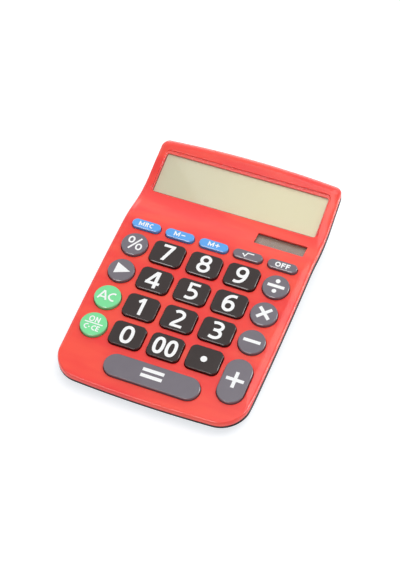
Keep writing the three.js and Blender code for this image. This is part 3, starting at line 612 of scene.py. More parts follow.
# Plated sheet or turned metal with fine directional wear
def platedMetal(look):
    material, tree, place = newMaterial(look["name"])
    stretch = addNode(tree, "ShaderNodeMapping", {"Vector": place, "Scale": (1, 12, 1)})
    wear = noise(tree, stretch.outputs["Vector"], look["wearMm"])["Fac"]
    colour = mixedColour(tree, wear, look["colour"], look["colourB"])
    rough = ranged(tree, wear, 0, 1, *look["roughness"])
    bump = addNode(tree, "ShaderNodeBump", {"Height": wear, "Strength": 0.2, "Distance": 0.01 * mm})
    surfaced(tree, {"Base Color": colour, "Metallic": 1.0, "Roughness": rough,
                    "Normal": bump.outputs["Normal"]})
    return material


# Glass-fibre laminate under green solder resist, with the tracks showing as lighter lines
def boardLaminate():
    material, tree, place = newMaterial("glass-fibre laminate with green solder resist")
    tracks = addNode(tree, "ShaderNodeTexBrick",
                     {"Vector": place, "Scale": patternScale(6), "Mortar Size": 0.03,
                      "Color1": hexColour("#1F6B3A"), "Color2": hexColour("#1B6034"),
                      "Mortar": hexColour("#3B8F56")})
    surfaced(tree, {"Base Color": tracks.outputs["Color"], "Roughness": 0.4, "IOR": 1.5})
    return material


displayAcrylic = acrylicPane("acrylic cast polished clear", display["paneShadeEdges"])
solarAcrylic = acrylicPane("acrylic cast polished clear, solar pane")
lcdGlass = displayGlass()
solarFilm = solarGlass()
laminate = boardLaminate()
# Carbon steel, zinc plated: bluish grey, turned
zincSteel = platedMetal({"name": "carbon steel zinc plated", "colour": "#B9BDC2", "colourB": "#A2A6AC",
                         "wearMm": 1.5, "roughness": (0.25, 0.4)})
# Stainless steel, nickel plated: the drawn can of the button cell
nickelSteel = platedMetal({"name": "stainless steel nickel plated", "colour": "#C9C8C4", "colourB": "#B8B7B2",
                           "wearMm": 2, "roughness": (0.18, 0.3)})
# Spring bronze, plated: warm strip contacts
springStrip = platedMetal({"name": "phosphor bronze plated strip", "colour": "#CDBF98", "colourB": "#BCAE86",
                           "wearMm": 1.5, "roughness": (0.2, 0.35)})

carriedOver = {
    "display_window": displayAcrylic,
    "solar_window": solarAcrylic,
    "lcd_panel": lcdGlass,
    "solar_cell": solarFilm,
    "lcd_frame": whitePs,
    "display_flex": polyimideFilm,
    "key_mat": siliconeRubber,
    "circuit_board": laminate,
    "controller_chip": blackEpoxy,
    "battery": nickelSteel,
    "battery_contact_plate": springStrip,
    "battery_contact_spring": springStrip,
    **{"board_screw_" + number: zincSteel for number in "1234"},
}
for nodeName, material in carriedOver.items():
    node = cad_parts[nodeName]
    node.data.materials.clear()
    node.data.materials.append(material)
print("materials made")


# Keys
keys = {
    "pitchX": 20.5,
    "pitchS": 17.5,
    "sideX": 38.95,
    "pillPitch": 18.874,
    "pillS": 65.8,
    "equalsS": -17.9,
    "plusS": -6.15,
    "rise": 1.8,
    "edge": 0.42,  # a narrow slant round the top, which catches a thin line of light
    "edgeSoftness": 0.12,
    "cornerSteps": 12,
    "weld": 0.001,
    "flangeTop": -2.1,
    "flangeBottom": -2.8,
    "flangeWidth": 0.6,
    "number": (17.2, 13.6, 3.1),
    "round": (13.8, 13.8, 6.9),
    "plus": (13.8, 25.1, 6.9),
    "equals": (50.3, 12.4, 6.2),
    "pill": (15.804, 5.2, 2.6),
}


# Node name: (x, s, (width, depth, corner radius), material, slot)
def placeKeys():
    found = {}
    black = (keys["number"], blackKeyAbs, "black_key")
    for row, names in enumerate((("0", "00", "point"), ("1", "2", "3"), ("4", "5", "6"), ("7", "8", "9"))):
        for column, name in enumerate(names):
            found["key_" + name] = ((column - 1) * keys["pitchX"], row * keys["pitchS"], *black)
    grey = (greyKeyAbs, "grey_key")
    green = (greenKeyAbs, "green_key")
    blue = (blueKeyAbs, "blue_key")
    left, right = -keys["sideX"], keys["sideX"]
    for name, x, row, finish in (("on_c_ce", left, 0, green), ("ac", left, 1, green), ("shift", left, 2, grey),
                                 ("percent", left, 3, grey), ("minus", right, 1, grey),
                                 ("multiply", right, 2, grey), ("divide", right, 3, grey)):
        found["key_" + name] = (x, row * keys["pitchS"], keys["round"], *finish)
    found["key_plus"] = (right, keys["plusS"], keys["plus"], *grey)
    found["key_equals"] = (0, keys["equalsS"], keys["equals"], *grey)
    for i, (name, finish) in enumerate((("mrc", blue), ("m_minus", blue), ("m_plus", blue), ("sqrt", grey),
                                        ("off", grey))):
        found["key_" + name] = ((i - 2) * keys["pillPitch"], keys["pillS"], keys["pill"], *finish)
    return found


places = placeKeys()


# A Geometry Nodes tree with these number inputs and a material called Finish
def newTree(name, floats, counts=()):
    tree = bpy.data.node_groups.new(name, "GeometryNodeTree")
    tree.interface.new_socket(name="Geometry", in_out="INPUT", socket_type="NodeSocketGeometry")
    for kind, names in (("Float", floats), ("Int", counts), ("Material", ["Finish"])):
        for socketName in names:
            tree.interface.new_socket(name=socketName, in_out="INPUT", socket_type="NodeSocket" + kind)
    tree.interface.new_socket(name="Geometry", in_out="OUTPUT", socket_type="NodeSocketGeometry")
    return tree, addNode(tree, "NodeGroupInput").outputs


# Union of the first with the others, or the first less the others
def joined(tree, operation, first, others):
    if operation == "UNION":
        node = addNode(tree, "GeometryNodeMeshBoolean", operation=operation)
        others = [first] + others
    else:
        node = addNode(tree, "GeometryNodeMeshBoolean", {"Mesh 1": first}, operation=operation)
    for other in others:
        tree.links.new(other, node.inputs["Mesh 2"])
    return node.outputs["Mesh"]


# Geometry Nodes: a cap with rounded corners on a thin flange, from its outline sizes
def keyCapTree():
    tree, given = newTree("key cap", ["width", "depth", "corner", "rise", "flangeTop", "flangeBottom",
                                      "flangeWidth"], ["cornerSteps"])

    def prism(grow, low, high):
        width, depth = [calculated(tree, "MULTIPLY_ADD", grow, 2.0, given[side]) for side in ("width", "depth")]
        corner = calculated(tree, "ADD", grow, given["corner"])
        tall = calculated(tree, "SUBTRACT", high, low)
        lift = addNode(tree, "ShaderNodeCombineXYZ", {"Z": low})
        outline = addNode(tree, "GeometryNodeCurvePrimitiveQuadrilateral",
                          {"Width": width, "Height": depth})
        rounded = addNode(tree, "GeometryNodeFilletCurve",
                          {"Curve": outline.outputs["Curve"], "Radius": corner,
                           "Count": given["cornerSteps"], "Limit Radius": True}, mode="POLY")
        face = addNode(tree, "GeometryNodeFillCurve", {"Curve": rounded.outputs["Curve"]}, mode="NGONS")
        clean = addNode(tree, "GeometryNodeMergeByDistance",
                        {"Geometry": face.outputs["Mesh"], "Distance": keys["weld"]})
        placed = addNode(tree, "GeometryNodeTransform",
                         {"Geometry": clean.outputs["Geometry"], "Translation": lift.outputs["Vector"]})
        sides = addNode(tree, "GeometryNodeExtrudeMesh",
                        {"Mesh": placed.outputs["Geometry"], "Offset": (0, 0, 1), "Offset Scale": tall,
                         "Individual": False}, mode="FACES")
        under = addNode(tree, "GeometryNodeFlipFaces", {"Mesh": placed.outputs["Geometry"]})
        both = addNode(tree, "GeometryNodeJoinGeometry")
        tree.links.new(sides.outputs["Mesh"], both.inputs["Geometry"])
        tree.links.new(under.outputs["Mesh"], both.inputs["Geometry"])
        return addNode(tree, "GeometryNodeMergeByDistance",
                       {"Geometry": both.outputs["Geometry"], "Distance": keys["weld"]}).outputs["Geometry"]

    cap = prism(0.0, given["flangeBottom"], given["rise"])
    flange = prism(given["flangeWidth"], given["flangeBottom"], given["flangeTop"])
    coloured = addNode(tree, "GeometryNodeSetMaterial",
                       {"Geometry": joined(tree, "UNION", cap, [flange]), "Material": given["Finish"]})
    real = addNode(tree, "GeometryNodeRealizeInstances", {"Geometry": coloured.outputs["Geometry"]})
    addNode(tree, "NodeGroupOutput", {"Geometry": real.outputs["Geometry"]})
    return tree


# An object whose Geometry Nodes modifier has these inputs, turned into a plain mesh
def useTree(name, tree, values, points=()):
    obj = newObject(name, points, [])
    modifier = obj.modifiers.new(tree.name, "NODES")
    modifier.node_group = tree
    for item in tree.interface.items_tree:
        if item.item_type == "SOCKET" and item.in_out == "INPUT" and item.name in values:
            value = values[item.name]
            modifier[item.identifier] = float(value) if item.socket_type == "NodeSocketFloat" else value
    return bake(obj)


def makeKeys():
    tree = keyCapTree()
    for name, (x, s, (width, depth, corner), material, slotName) in places.items():
        cap = useTree(name + "_cap", tree,
                      {**keys, "width": width, "depth": depth, "corner": corner, "Finish": material})
        for size, segments, angle in ((keys["edge"], 1, 60), (keys["edgeSoftness"], 2, 30)):
            soften = cap.modifiers.new("soft edge", "BEVEL")
            soften.width = size
            soften.segments = segments
            soften.limit_method = "ANGLE"
            soften.angle_limit = radians(angle)
        bake(cap)
        place = deckMatrix @ Matrix.Translation((x, s, 0))
        finishPiece(cap, place, material, name, [name])
    print("keys made:", len(places))


makeKeys()


# Loops of points for cutters
def roundedLoop(corners, radius, steps):
    points = []
    for i, corner in enumerate(corners):
        here = Vector(corner)
        before = (Vector(corners[i - 1]) - here).normalized()
        after = (Vector(corners[(i + 1) % len(corners)]) - here).normalized()
        start, end = here + before * radius, here + after * radius
        points.append(tuple(start))
        points += cornerCurve(start, -before, end, after, radius, steps)
        points.append(tuple(end))
    return points


def rectangle(left, right, low, high):
    return [(left, low), (right, low), (right, high), (left, high)]


# Levels, highest first, are lists of equally many (x, y, z) points
def loopStack(name, levels):
    count = len(levels[0])
    points = [p for level in levels for p in level]
    faces = [tuple(range(count))]
    for k in range(len(levels) - 1):
        faces += wallFaces(k * count, (k + 1) * count, count)
    faces.append(tuple((len(levels) - 1) * count + j for j in reversed(range(count))))
    return newObject(name, points, faces)


# Outward offset and depth of a rounded lip, from the face down
def lipLevels(steps, lip):
    angles = [i / steps * math.pi / 2 for i in range(steps + 1)]
    return [(lip * (1 - math.sin(a)), lip * (1 - math.cos(a))) for a in angles]


# How far cutters reach over the face and under it
above, below = 4, 6


def keyCutter(name, x, s, size):
    width, depth, corner = size
    clearance = cover["holeClearance"]

    def level(offset, depthUnder):
        grow = clearance + offset
        corners = rectangle(-width / 2 - grow, width / 2 + grow, -depth / 2 - grow, depth / 2 + grow)
        # a full round end keeps a hair of its side
        radius = min(corner + grow, depth / 2 + grow - keys["weld"])
        loop = roundedLoop(corners, radius, cover["holeCornerSteps"])
        return [(x + u, s + v, faceHeight(s + v) - depthUnder) for u, v in loop]

    lips = lipLevels(cover["holeLipSteps"], cover["holeLip"])
    levels = [level(cover["holeLip"], -above)] + [level(*lip) for lip in lips] + [level(0, below)]
    return loopStack(name, levels)


# Height of the cover's face over the display's plane, closed in on in a few rounds
def faceOverDisplay(v):
    w = 0
    for _ in range(4):
        s = displayOrigin[0] + v * math.cos(displayAngle) - w * math.sin(displayAngle)
        w = (faceHeight(s) - displayOrigin[1] - v * math.sin(displayAngle)) / math.cos(displayAngle)
    return w


def recessCorners(grow):
    front, back = display["frontWidth"] / 2 + grow, display["backWidth"] / 2 + grow
    far = display["length"] + grow
    return [(-front, -grow), (front, -grow), (back, far), (-back, far)]


def apertureCorners(grow):
    half = display["backWidth"] / 2 - display["ledgeSide"] + grow
    return rectangle(-half, half, display["ledgeFront"] - grow,
                     display["length"] - display["ledgeBack"] + grow)


def displayCutter():
    levels = []

    def add(corners, radius, height):
        loop = roundedLoop(corners, radius, display["cornerSteps"])
        levels.append([displayToDeck(u, v, height(v)) for u, v in loop])

    lip = display["faceLip"]
    add(recessCorners(lip), display["radius"] + lip, lambda v: faceOverDisplay(v) + above)
    for offset, depth in lipLevels(display["faceLipSteps"], lip):
        add(recessCorners(offset), display["radius"] + offset, lambda v, d=depth: faceOverDisplay(v) - d)
    foot, gap = display["wallFoot"], display["ledgeGap"]
    add(recessCorners(0), display["radius"], lambda v: foot)
    add(recessCorners(-foot), display["radius"] - foot, lambda v: -gap)
    lip = display["ledgeLip"]
    for offset, depth in lipLevels(display["ledgeLipSteps"], lip):
        add(apertureCorners(offset), display["apertureRadius"] + offset, lambda v, d=depth: -gap - d)
    ledgeUnder = -display["ledgeThickness"]
    add(apertureCorners(0), display["apertureRadius"], lambda v: ledgeUnder)
    frameRoom = display["frameReach"] + display["framePlay"]
    add(apertureCorners(frameRoom), display["apertureRadius"], lambda v: ledgeUnder)
    add(apertureCorners(frameRoom), display["apertureRadius"], lambda v: -below)
    return loopStack("display cutter", levels)


def displaySeat():
    levels = []
    wall = display["seatWall"]
    for w in (display["length"] * math.tan(displayAngle) + above, -display["ledgeThickness"]):
        loop = roundedLoop(recessCorners(wall), display["radius"] + wall, display["seatCornerSteps"])
        levels.append([displayToDeck(u, v, w) for u, v in loop])
    return loopStack("display seat", levels)


solarS = (shoulderEndS + waistStartS) / 2 + solar["shift"]


def solarCutter():
    levels = []

    def add(grow, depth, radius):
        corners = rectangle(-solar["width"] / 2 - grow, solar["width"] / 2 + grow,
                            -solar["depth"] / 2 - grow, solar["depth"] / 2 + grow)
        loop = roundedLoop(corners, radius, solar["cornerSteps"])
        level = []
        for u, v in loop:
            s = solarS + v * math.cos(dip)
            level.append((solar["x"] + u, s - depth * math.sin(dip), faceHeight(s) - depth * math.cos(dip)))
        levels.append(level)

    lip, radius = solar["lip"], solar["radius"]
    add(lip, -above, radius + lip)
    for offset, depth in lipLevels(solar["lipSteps"], lip):
        add(offset, depth, radius + offset)
    add(0, solar["rimThickness"], radius)
    add(solar["paneRoom"], solar["rimThickness"], radius)
    add(solar["paneRoom"], below, radius)
    return loopStack("solar cutter", levels)


# Inset and drop at a share of the way down the cover's edge, above s
def edgeProfile(share, s):
    angle = share * math.pi / 2
    fronts, backs = cover["frontEdgeEnd"], cover["backEdgeStart"]
    sideShare = easedShare((s - fronts[0]) / (fronts[1] - fronts[0]))
    backShare = easedShare((s - backs[0]) / (backs[1] - backs[0]))
    width, fall, form = [mix(mix(a, b, sideShare), c, backShare)
                         for a, b, c in zip(cover["frontEdge"], cover["sideEdge"], cover["backEdge"])]
    return width * (1 - math.sin(angle)), fall * (1 - max(0, math.cos(angle)) ** form)


def edgeRing(share):
    far = cover["edgeReach"]
    outer, inner = halfOutline(body, 0), halfOutline(body, far)
    half = []
    for (x0, s0), (x1, s1) in zip(outer, inner):
        t = edgeProfile(share, s0)[0] / far
        half.append((mix(x0, x1, t), mix(s0, s1, t)))
    return half, lambda s: faceHeight(s) - edgeProfile(share, s)[1]


def makeFrontCover():
    depth = cover["edgeRadius"] + cover["skirt"]
    rings = [edgeRing(i / cover["edgeSteps"]) for i in range(cover["edgeSteps"] + 1)]
    lower = cover["lowerEdge"]
    rings.append((halfOutline(body, 0), lambda s: faceHeight(s) - depth + lower))
    rings.append((halfOutline(body, lower), lambda s: faceHeight(s) - depth))
    shell = ringMesh("front_cover_shell", rings)

    wall = cover["wall"]
    inner = cover["edgeRadius"] - wall
    bend = inner * cover["innerBend"]
    hollow = ringMesh("hollow", [
        (halfOutline(body, wall + inner), lambda s: faceHeight(s) - wall),
        (halfOutline(body, wall + bend), lambda s: faceHeight(s) - wall - bend),
        (halfOutline(body, wall), lambda s: faceHeight(s) - wall - inner),
        (halfOutline(body, wall), lambda s: faceHeight(s) - depth - above),
    ])
    combine(hollow, displaySeat(), "DIFFERENCE")
    combine(shell, hollow, "DIFFERENCE")
    cutters = [keyCutter(name + " cutter", x, s, size) for name, (x, s, size, _, _) in places.items()]
    cutters += [displayCutter(), solarCutter()]
    combine(shell, merged("cutters", cutters), "DIFFERENCE")
    finishPiece(shell, deckMatrix, redAbs, caseBody, ["front_cover"], sharpAngle=40)
    print("front cover made:", len(shell.data.polygons), "faces")


makeFrontCover()


# Rear cover
def seamHeight(s):
    return faceHeight(s) - cover["edgeRadius"] - cover["skirt"] - rear["seam"]


def bandBottom(s):
    share = easedShare((s - body["front"]) / rear["bandBlend"])
    return seamHeight(s) - mix(rear["bandFront"], rear["band"], share)


def levelHeight(z):
    tilt = radians(deck["tilt"])
    return lambda s: (z - deck["originZ"] - s * math.sin(tilt)) / math.cos(tilt)


underside = {
    "batteryX": -17,
    "batteryS": 95.508,
    "doorWidth": 18,
    "doorLength": 22,
    "doorThickness": 1.2,
    "doorRadius": 2,
    "doorGap": 0.3,
    "notchRadius": 3,
    "postRadius": 3,
    "postSink": 0.8,
    "postCap": 1.2,
    "screwPlay": 0.2,
    "footSeat": 0.6,
    "footGap": 0.3,
}

screw = {
    "headRadius": 1.9,
    "headHeight": 1.3,
    "domeHeight": 0.4,
    "domeRadius": 1.3,
    "shankRadius": 0.9,
    "slotWidth": 0.55,
    "slotLength": 2.1,
    "slotDepth": 0.85,
    "shankOverlap": 0.1,
}

foot = {
    "radius": 4.5,
    "height": 1.5,
    "edge": 0.5,
    "grooveOuter": 3.3,
    "grooveInner": 2.6,
    "grooveDepth": 0.3,
}


# Row-frame y of a place on the table under deck coordinate s
def tableY(s):
    return s * math.cos(radians(deck["tilt"])) + deck["originY"]


# A prism between two heights over the table, in the deck's coordinates
def tableCutter(name, points, low, high):
    back = deckMatrix.inverted() @ tableMatrix
    levels = [[tuple(back @ Vector((x, y, z))) for x, y in points] for z in (high, low)]
    return loopStack(name, levels)


def circlePoints(x, y, radius, sides=48):
    return [(x + radius * math.cos(2 * math.pi * i / sides), y + radius * math.sin(2 * math.pi * i / sides))
            for i in range(sides)]


def boxCentre(node):
    low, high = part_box(node)
    return [(low[i] + high[i]) / 2 / mm for i in range(3)]


footNodes = ["foot_front_left", "foot_front_right", "foot_rear_left", "foot_rear_right"]
caseScrewNodes = ["case_screw_front_left", "case_screw_front_right",
                  "case_screw_rear_left", "case_screw_rear_right"]


def doorLoop(grow):
    x = underside["batteryX"]
    y = tableY(underside["batteryS"])
    halfWidth = underside["doorWidth"] / 2 + grow
    halfLength = underside["doorLength"] / 2 + grow
    corners = rectangle(x - halfWidth, x + halfWidth, y - halfLength, y + halfLength)
    return roundedLoop(corners, underside["doorRadius"] + grow, 8)


# From the band's last level, the tapered tub down to a rounded edge on the flat floor
def tubLevels(start):
    floorHeight = levelHeight(rear["floorZ"])
    end = [(x, s, floorHeight(s)) for x, s in halfOutline(floorShape, 0)]
    innerEnd = [(x, s, floorHeight(s)) for x, s in halfOutline(floorShape, rear["floorEdge"])]

    def between(t):
        return [tuple(mix(a, b, t) for a, b in zip(p, q)) for p, q in zip(start, end)]

    steps = rear["tubSteps"]
    levels = [between(i / steps * rear["tubShare"]) for i in range(1, steps)]
    blendStart = between(rear["tubShare"])
    for i in range(rear["floorEdgeSteps"] + 1):
        t = i / rear["floorEdgeSteps"]
        levels.append([tuple((1 - t) ** 2 * p + 2 * (1 - t) * t * q + t ** 2 * r for p, q, r in zip(a, b, c))
                       for a, b, c in zip(blendStart, end, innerEnd)])
    return levels


def makeRearCover():
    edge, bandEdge = rear["seamEdge"], rear["bandEdge"]
    rings = [
        (halfOutline(body, edge), seamHeight),
        (halfOutline(body, 0), lambda s: seamHeight(s) - edge),
        (halfOutline(body, 0), lambda s: bandBottom(s) + bandEdge),
    ]
    for i in range(1, rear["undercutSteps"] + 1):
        angle = i / rear["undercutSteps"] * math.pi / 2
        drop = rear["undercutDrop"] * math.sin(angle)
        rings.append((halfOutline(body, rear["undercut"] * (1 - math.cos(angle))),
                      lambda s, d=drop: bandBottom(s) + bandEdge - d))
    bandLevels = ringLevels(rings)
    shell = halfLevelMesh("rear_cover_shell", bandLevels + tubLevels(bandLevels[-1]))

    wall = rear["wall"]
    floorTop = levelHeight(rear["floorZ"] + rear["floorThickness"])
    hollow = ringMesh("hollow", [
        (halfOutline(body, wall), lambda s: seamHeight(s) + above),
        (halfOutline(body, wall), lambda s: bandBottom(s) + rear["hollowRise"]),
        (halfOutline(floorShape, wall), floorTop),
    ])
    combine(shell, hollow, "DIFFERENCE")

    lipOuter = cover["wall"] + rear["lipPlay"]
    rootOuter = wall - rear["rootOverlap"]
    lipInner = lipOuter + rear["lipThickness"]
    root = ringMesh("root", [
        (halfOutline(body, lipOuter), lambda s: seamHeight(s) + rear["lipHeight"]),
        (halfOutline(body, lipOuter), seamHeight),
        (halfOutline(body, rootOuter), lambda s: seamHeight(s) - rear["rootDrop"]),
        (halfOutline(body, rootOuter), lambda s: seamHeight(s) - rear["lipRoot"]),
    ])
    bore = ringMesh("bore", [
        (halfOutline(body, lipInner), lambda s: seamHeight(s) + above),
        (halfOutline(body, lipInner), lambda s: seamHeight(s) - above),
    ])
    combine(root, bore, "DIFFERENCE")
    combine(shell, root, "UNION")

    floorZ = rear["floorZ"]
    cutters = [tableCutter("door", doorLoop(underside["doorGap"]), -above,
                           floorZ + underside["doorThickness"] + underside["doorGap"])]
    for name in footNodes:
        x, y, _ = boxCentre(name)
        radius = foot["radius"] + underside["footGap"]
        cutters.append(tableCutter(name, circlePoints(x, y, radius), -above, floorZ + underside["footSeat"]))
    combine(shell, merged("seats", cutters), "DIFFERENCE")

    for name in caseScrewNodes:
        x, y, _ = boxCentre(name)
        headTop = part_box(name)[0][2] / mm + screw["headHeight"]
        outer = tableCutter("post", circlePoints(x, y, underside["postRadius"]), floorZ + underside["postSink"],
                            headTop + underside["postCap"])
        combine(shell, outer, "UNION")
        bore = tableCutter("counterbore", circlePoints(x, y, screw["headRadius"] + underside["screwPlay"]),
                           -above, headTop)
        combine(shell, bore, "DIFFERENCE")
    x, y = underside["batteryX"], tableY(underside["batteryS"])
    notch = tableCutter("notch", circlePoints(x, y - underside["doorLength"] / 2, underside["notchRadius"]),
                        -above, floorZ + underside["doorThickness"] / 2)
    combine(shell, notch, "DIFFERENCE")
    finishPiece(shell, deckMatrix, darkAbs, caseBody, ["rear_cover"], sharpAngle=40)
    print("rear cover made:", len(shell.data.polygons), "faces")


makeRearCover()


# Puts made geometry on the object's own points, once on each
def onPoints(tree, given, geometry):
    placed = addNode(tree, "GeometryNodeInstanceOnPoints", {"Points": given["Geometry"], "Instance": geometry})
    real = addNode(tree, "GeometryNodeRealizeInstances", {"Geometry": placed.outputs["Instances"]})
    coloured = addNode(tree, "GeometryNodeSetMaterial",
                       {"Geometry": real.outputs["Geometry"], "Material": given["Finish"]})
    addNode(tree, "NodeGroupOutput", {"Geometry": coloured.outputs["Geometry"]})


# A turned disc between two heights, with its own radius at each
def turned(tree, low, high, radiusLow, radiusHigh, sides=40):
    tall = calculated(tree, "SUBTRACT", high, low)
    lift = addNode(tree, "ShaderNodeCombineXYZ", {"Z": low})
    cone = addNode(tree, "GeometryNodeMeshCone", {"Vertices": sides, "Radius Top": radiusHigh,
                                                  "Radius Bottom": radiusLow, "Depth": tall})
    return addNode(tree, "GeometryNodeTransform", {"Geometry": cone.outputs["Mesh"],
                                                   "Translation": lift.outputs["Vector"]}).outputs["Geometry"]


# Geometry Nodes: a cross-recessed screw, head down on every point
def screwTree():
    tree, given = newTree("screw", [*screw, "length"])
    end = calculated(tree, "ADD", given["headHeight"], given["length"])
    root = calculated(tree, "SUBTRACT", given["headHeight"], given["shankOverlap"])
    dome = turned(tree, 0.0, given["domeHeight"], given["domeRadius"], given["headRadius"])
    rim = turned(tree, given["domeHeight"], given["headHeight"], given["headRadius"], given["headRadius"])
    shank = turned(tree, root, end, given["shankRadius"], given["shankRadius"], 24)
    deep = calculated(tree, "MULTIPLY", given["slotDepth"], 2.0)
    slots = []
    for x, y in (("slotWidth", "slotLength"), ("slotLength", "slotWidth")):
        whole = addNode(tree, "ShaderNodeCombineXYZ", {"X": given[x], "Y": given[y], "Z": deep})
        slots.append(addNode(tree, "GeometryNodeMeshCube", {"Size": whole.outputs["Vector"]}).outputs["Mesh"])
    solid = joined(tree, "UNION", dome, [rim, shank])
    onPoints(tree, given, joined(tree, "DIFFERENCE", solid, slots))
    return tree


# Geometry Nodes: a round stuck-on foot with a softened edge and a ring groove, on every point
def footTree():
    tree, given = newTree("foot", foot)
    edgeRadius = calculated(tree, "SUBTRACT", given["radius"], given["edge"])
    edge = turned(tree, 0.0, given["edge"], edgeRadius, given["radius"], 48)
    wall = turned(tree, given["edge"], given["height"], given["radius"], given["radius"], 48)
    ringOuter = turned(tree, -1.0, given["grooveDepth"], given["grooveOuter"], given["grooveOuter"], 48)
    ringInner = turned(tree, -2.0, 1.0, given["grooveInner"], given["grooveInner"], 48)
    groove = joined(tree, "DIFFERENCE", ringOuter, [ringInner])
    solid = joined(tree, "UNION", edge, [wall])
    onPoints(tree, given, joined(tree, "DIFFERENCE", solid, [groove]))
    return tree


door = {
    "edge": 0.35,
    "edgeSteps": 4,
    "ribCount": 5,
    "ribPitch": 1.8,
    "ribLength": 10,
    "ribWidth": 0.9,
    "ribHeight": 0.28,
    "ribsFromFront": 3.6,
}


# Geometry Nodes: half-round ribs side by side, from the first point on
def ribTree():
    tree, given = newTree("grip ribs", ["ribPitch", "ribLength", "ribWidth", "ribHeight"], ["ribCount"])
    rod = addNode(tree, "GeometryNodeMeshCylinder",
                  {"Vertices": 24, "Radius": 1.0, "Depth": given["ribLength"]})
    halfWidth = calculated(tree, "MULTIPLY", given["ribWidth"], 0.5)
    thin = addNode(tree, "ShaderNodeCombineXYZ", {"X": given["ribHeight"], "Y": halfWidth, "Z": 1.0})
    flat = addNode(tree, "GeometryNodeTransform",
                   {"Geometry": rod.outputs["Mesh"], "Scale": thin.outputs["Vector"]})
    lying = addNode(tree, "GeometryNodeTransform", {"Geometry": flat.outputs["Geometry"],
                                                    "Rotation": (0, math.pi / 2, 0)})
    step = addNode(tree, "ShaderNodeCombineXYZ", {"Y": given["ribPitch"]})
    row = addNode(tree, "GeometryNodeMeshLine", {"Count": given["ribCount"], "Offset": step.outputs["Vector"]})
    ribs = addNode(tree, "GeometryNodeInstanceOnPoints", {"Points": row.outputs["Mesh"],
                                                          "Instance": lying.outputs["Geometry"]})
    onPoints(tree, given, ribs.outputs["Instances"])
    return tree


def lowPoint(node):
    x, y, _ = boxCentre(node)
    return (x, y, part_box(node)[0][2] / mm)


def makeFastenersAndFeet():
    tree = screwTree()
    for name, nodes in (("case_screws_front", caseScrewNodes[:2]), ("case_screws_rear", caseScrewNodes[2:])):
        low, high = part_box(nodes[0])
        length = (high[2] - low[2]) / mm - screw["headHeight"]
        piece = useTree(name, tree, {**screw, "length": length, "Finish": zincSteel},
                        [lowPoint(node) for node in nodes])
        finishPiece(piece, tableMatrix, zincSteel, caseBody, nodes)
    feet = useTree("rubber_feet", footTree(), {**foot, "Finish": footRubber},
                   [lowPoint(node) for node in footNodes])
    finishPiece(feet, tableMatrix, footRubber, caseBody, footNodes)
    print("screws and feet made")


def makeBatteryDoor():
    low, high = rear["floorZ"], rear["floorZ"] + underside["doorThickness"]
    levels = [[(x, y, high) for x, y in doorLoop(0)]]
    for inset, drop in reversed(lipLevels(door["edgeSteps"], door["edge"])):
        levels.append([(x, y, low + drop) for x, y in doorLoop(-inset)])
    plate = loopStack("battery_door_plate", levels)
    outward(plate)
    front = tableY(underside["batteryS"]) - underside["doorLength"] / 2
    ribs = useTree("ribs", ribTree(), {**door, "Finish": darkAbs},
                   [(underside["batteryX"], front + door["ribsFromFront"], low)])
    piece = merged("battery_door_cap", [plate, ribs])
    finishPiece(piece, tableMatrix, darkAbs, "battery_door", ["battery_door"])
    print("battery door made")


makeFastenersAndFeet()
makeBatteryDoor()

# Legends: every sign is drawn with a flat pen about a middle of its own, in millimetres
legend = {
    "inkHeight": 0.015,
    "sink": 0.2,
    "turnSteps": 28,
    "curveSteps": 5,
    "digitPen": 1.68,
}


# Closed oval; a squareness over 2 fills its corners
def oval(x, y, rx, ry, squareness=2):
    points = []
    for i in range(legend["turnSteps"]):
        angle = 2 * math.pi * i / legend["turnSteps"]
        u, v = math.cos(angle), math.sin(angle)
        points.append((x + rx * math.copysign(abs(u) ** (2 / squareness), u),
                       y + ry * math.copysign(abs(v) ** (2 / squareness), v)))
    return points


# Smooth line through the given points
def curved(points):
    steps = legend["curveSteps"]
    line = []
    for i in range(len(points) - 1):
        a = Vector(points[max(i - 1, 0)])
        b, c = Vector(points[i]), Vector(points[i + 1])
        d = Vector(points[min(i + 2, len(points) - 1)])
        for j in range(steps):
            t = j / steps
            p = b * 2 + (c - a) * t + (a * 2 - b * 5 + c * 4 - d) * t ** 2 + (b * 3 - a - c * 3 + d) * t ** 3
            line.append((p.x / 2, p.y / 2))
    return line + [tuple(points[-1])]


def moved(points, x, y):
    return [(x + u, y + v) for u, v in points]


pen = legend["digitPen"]
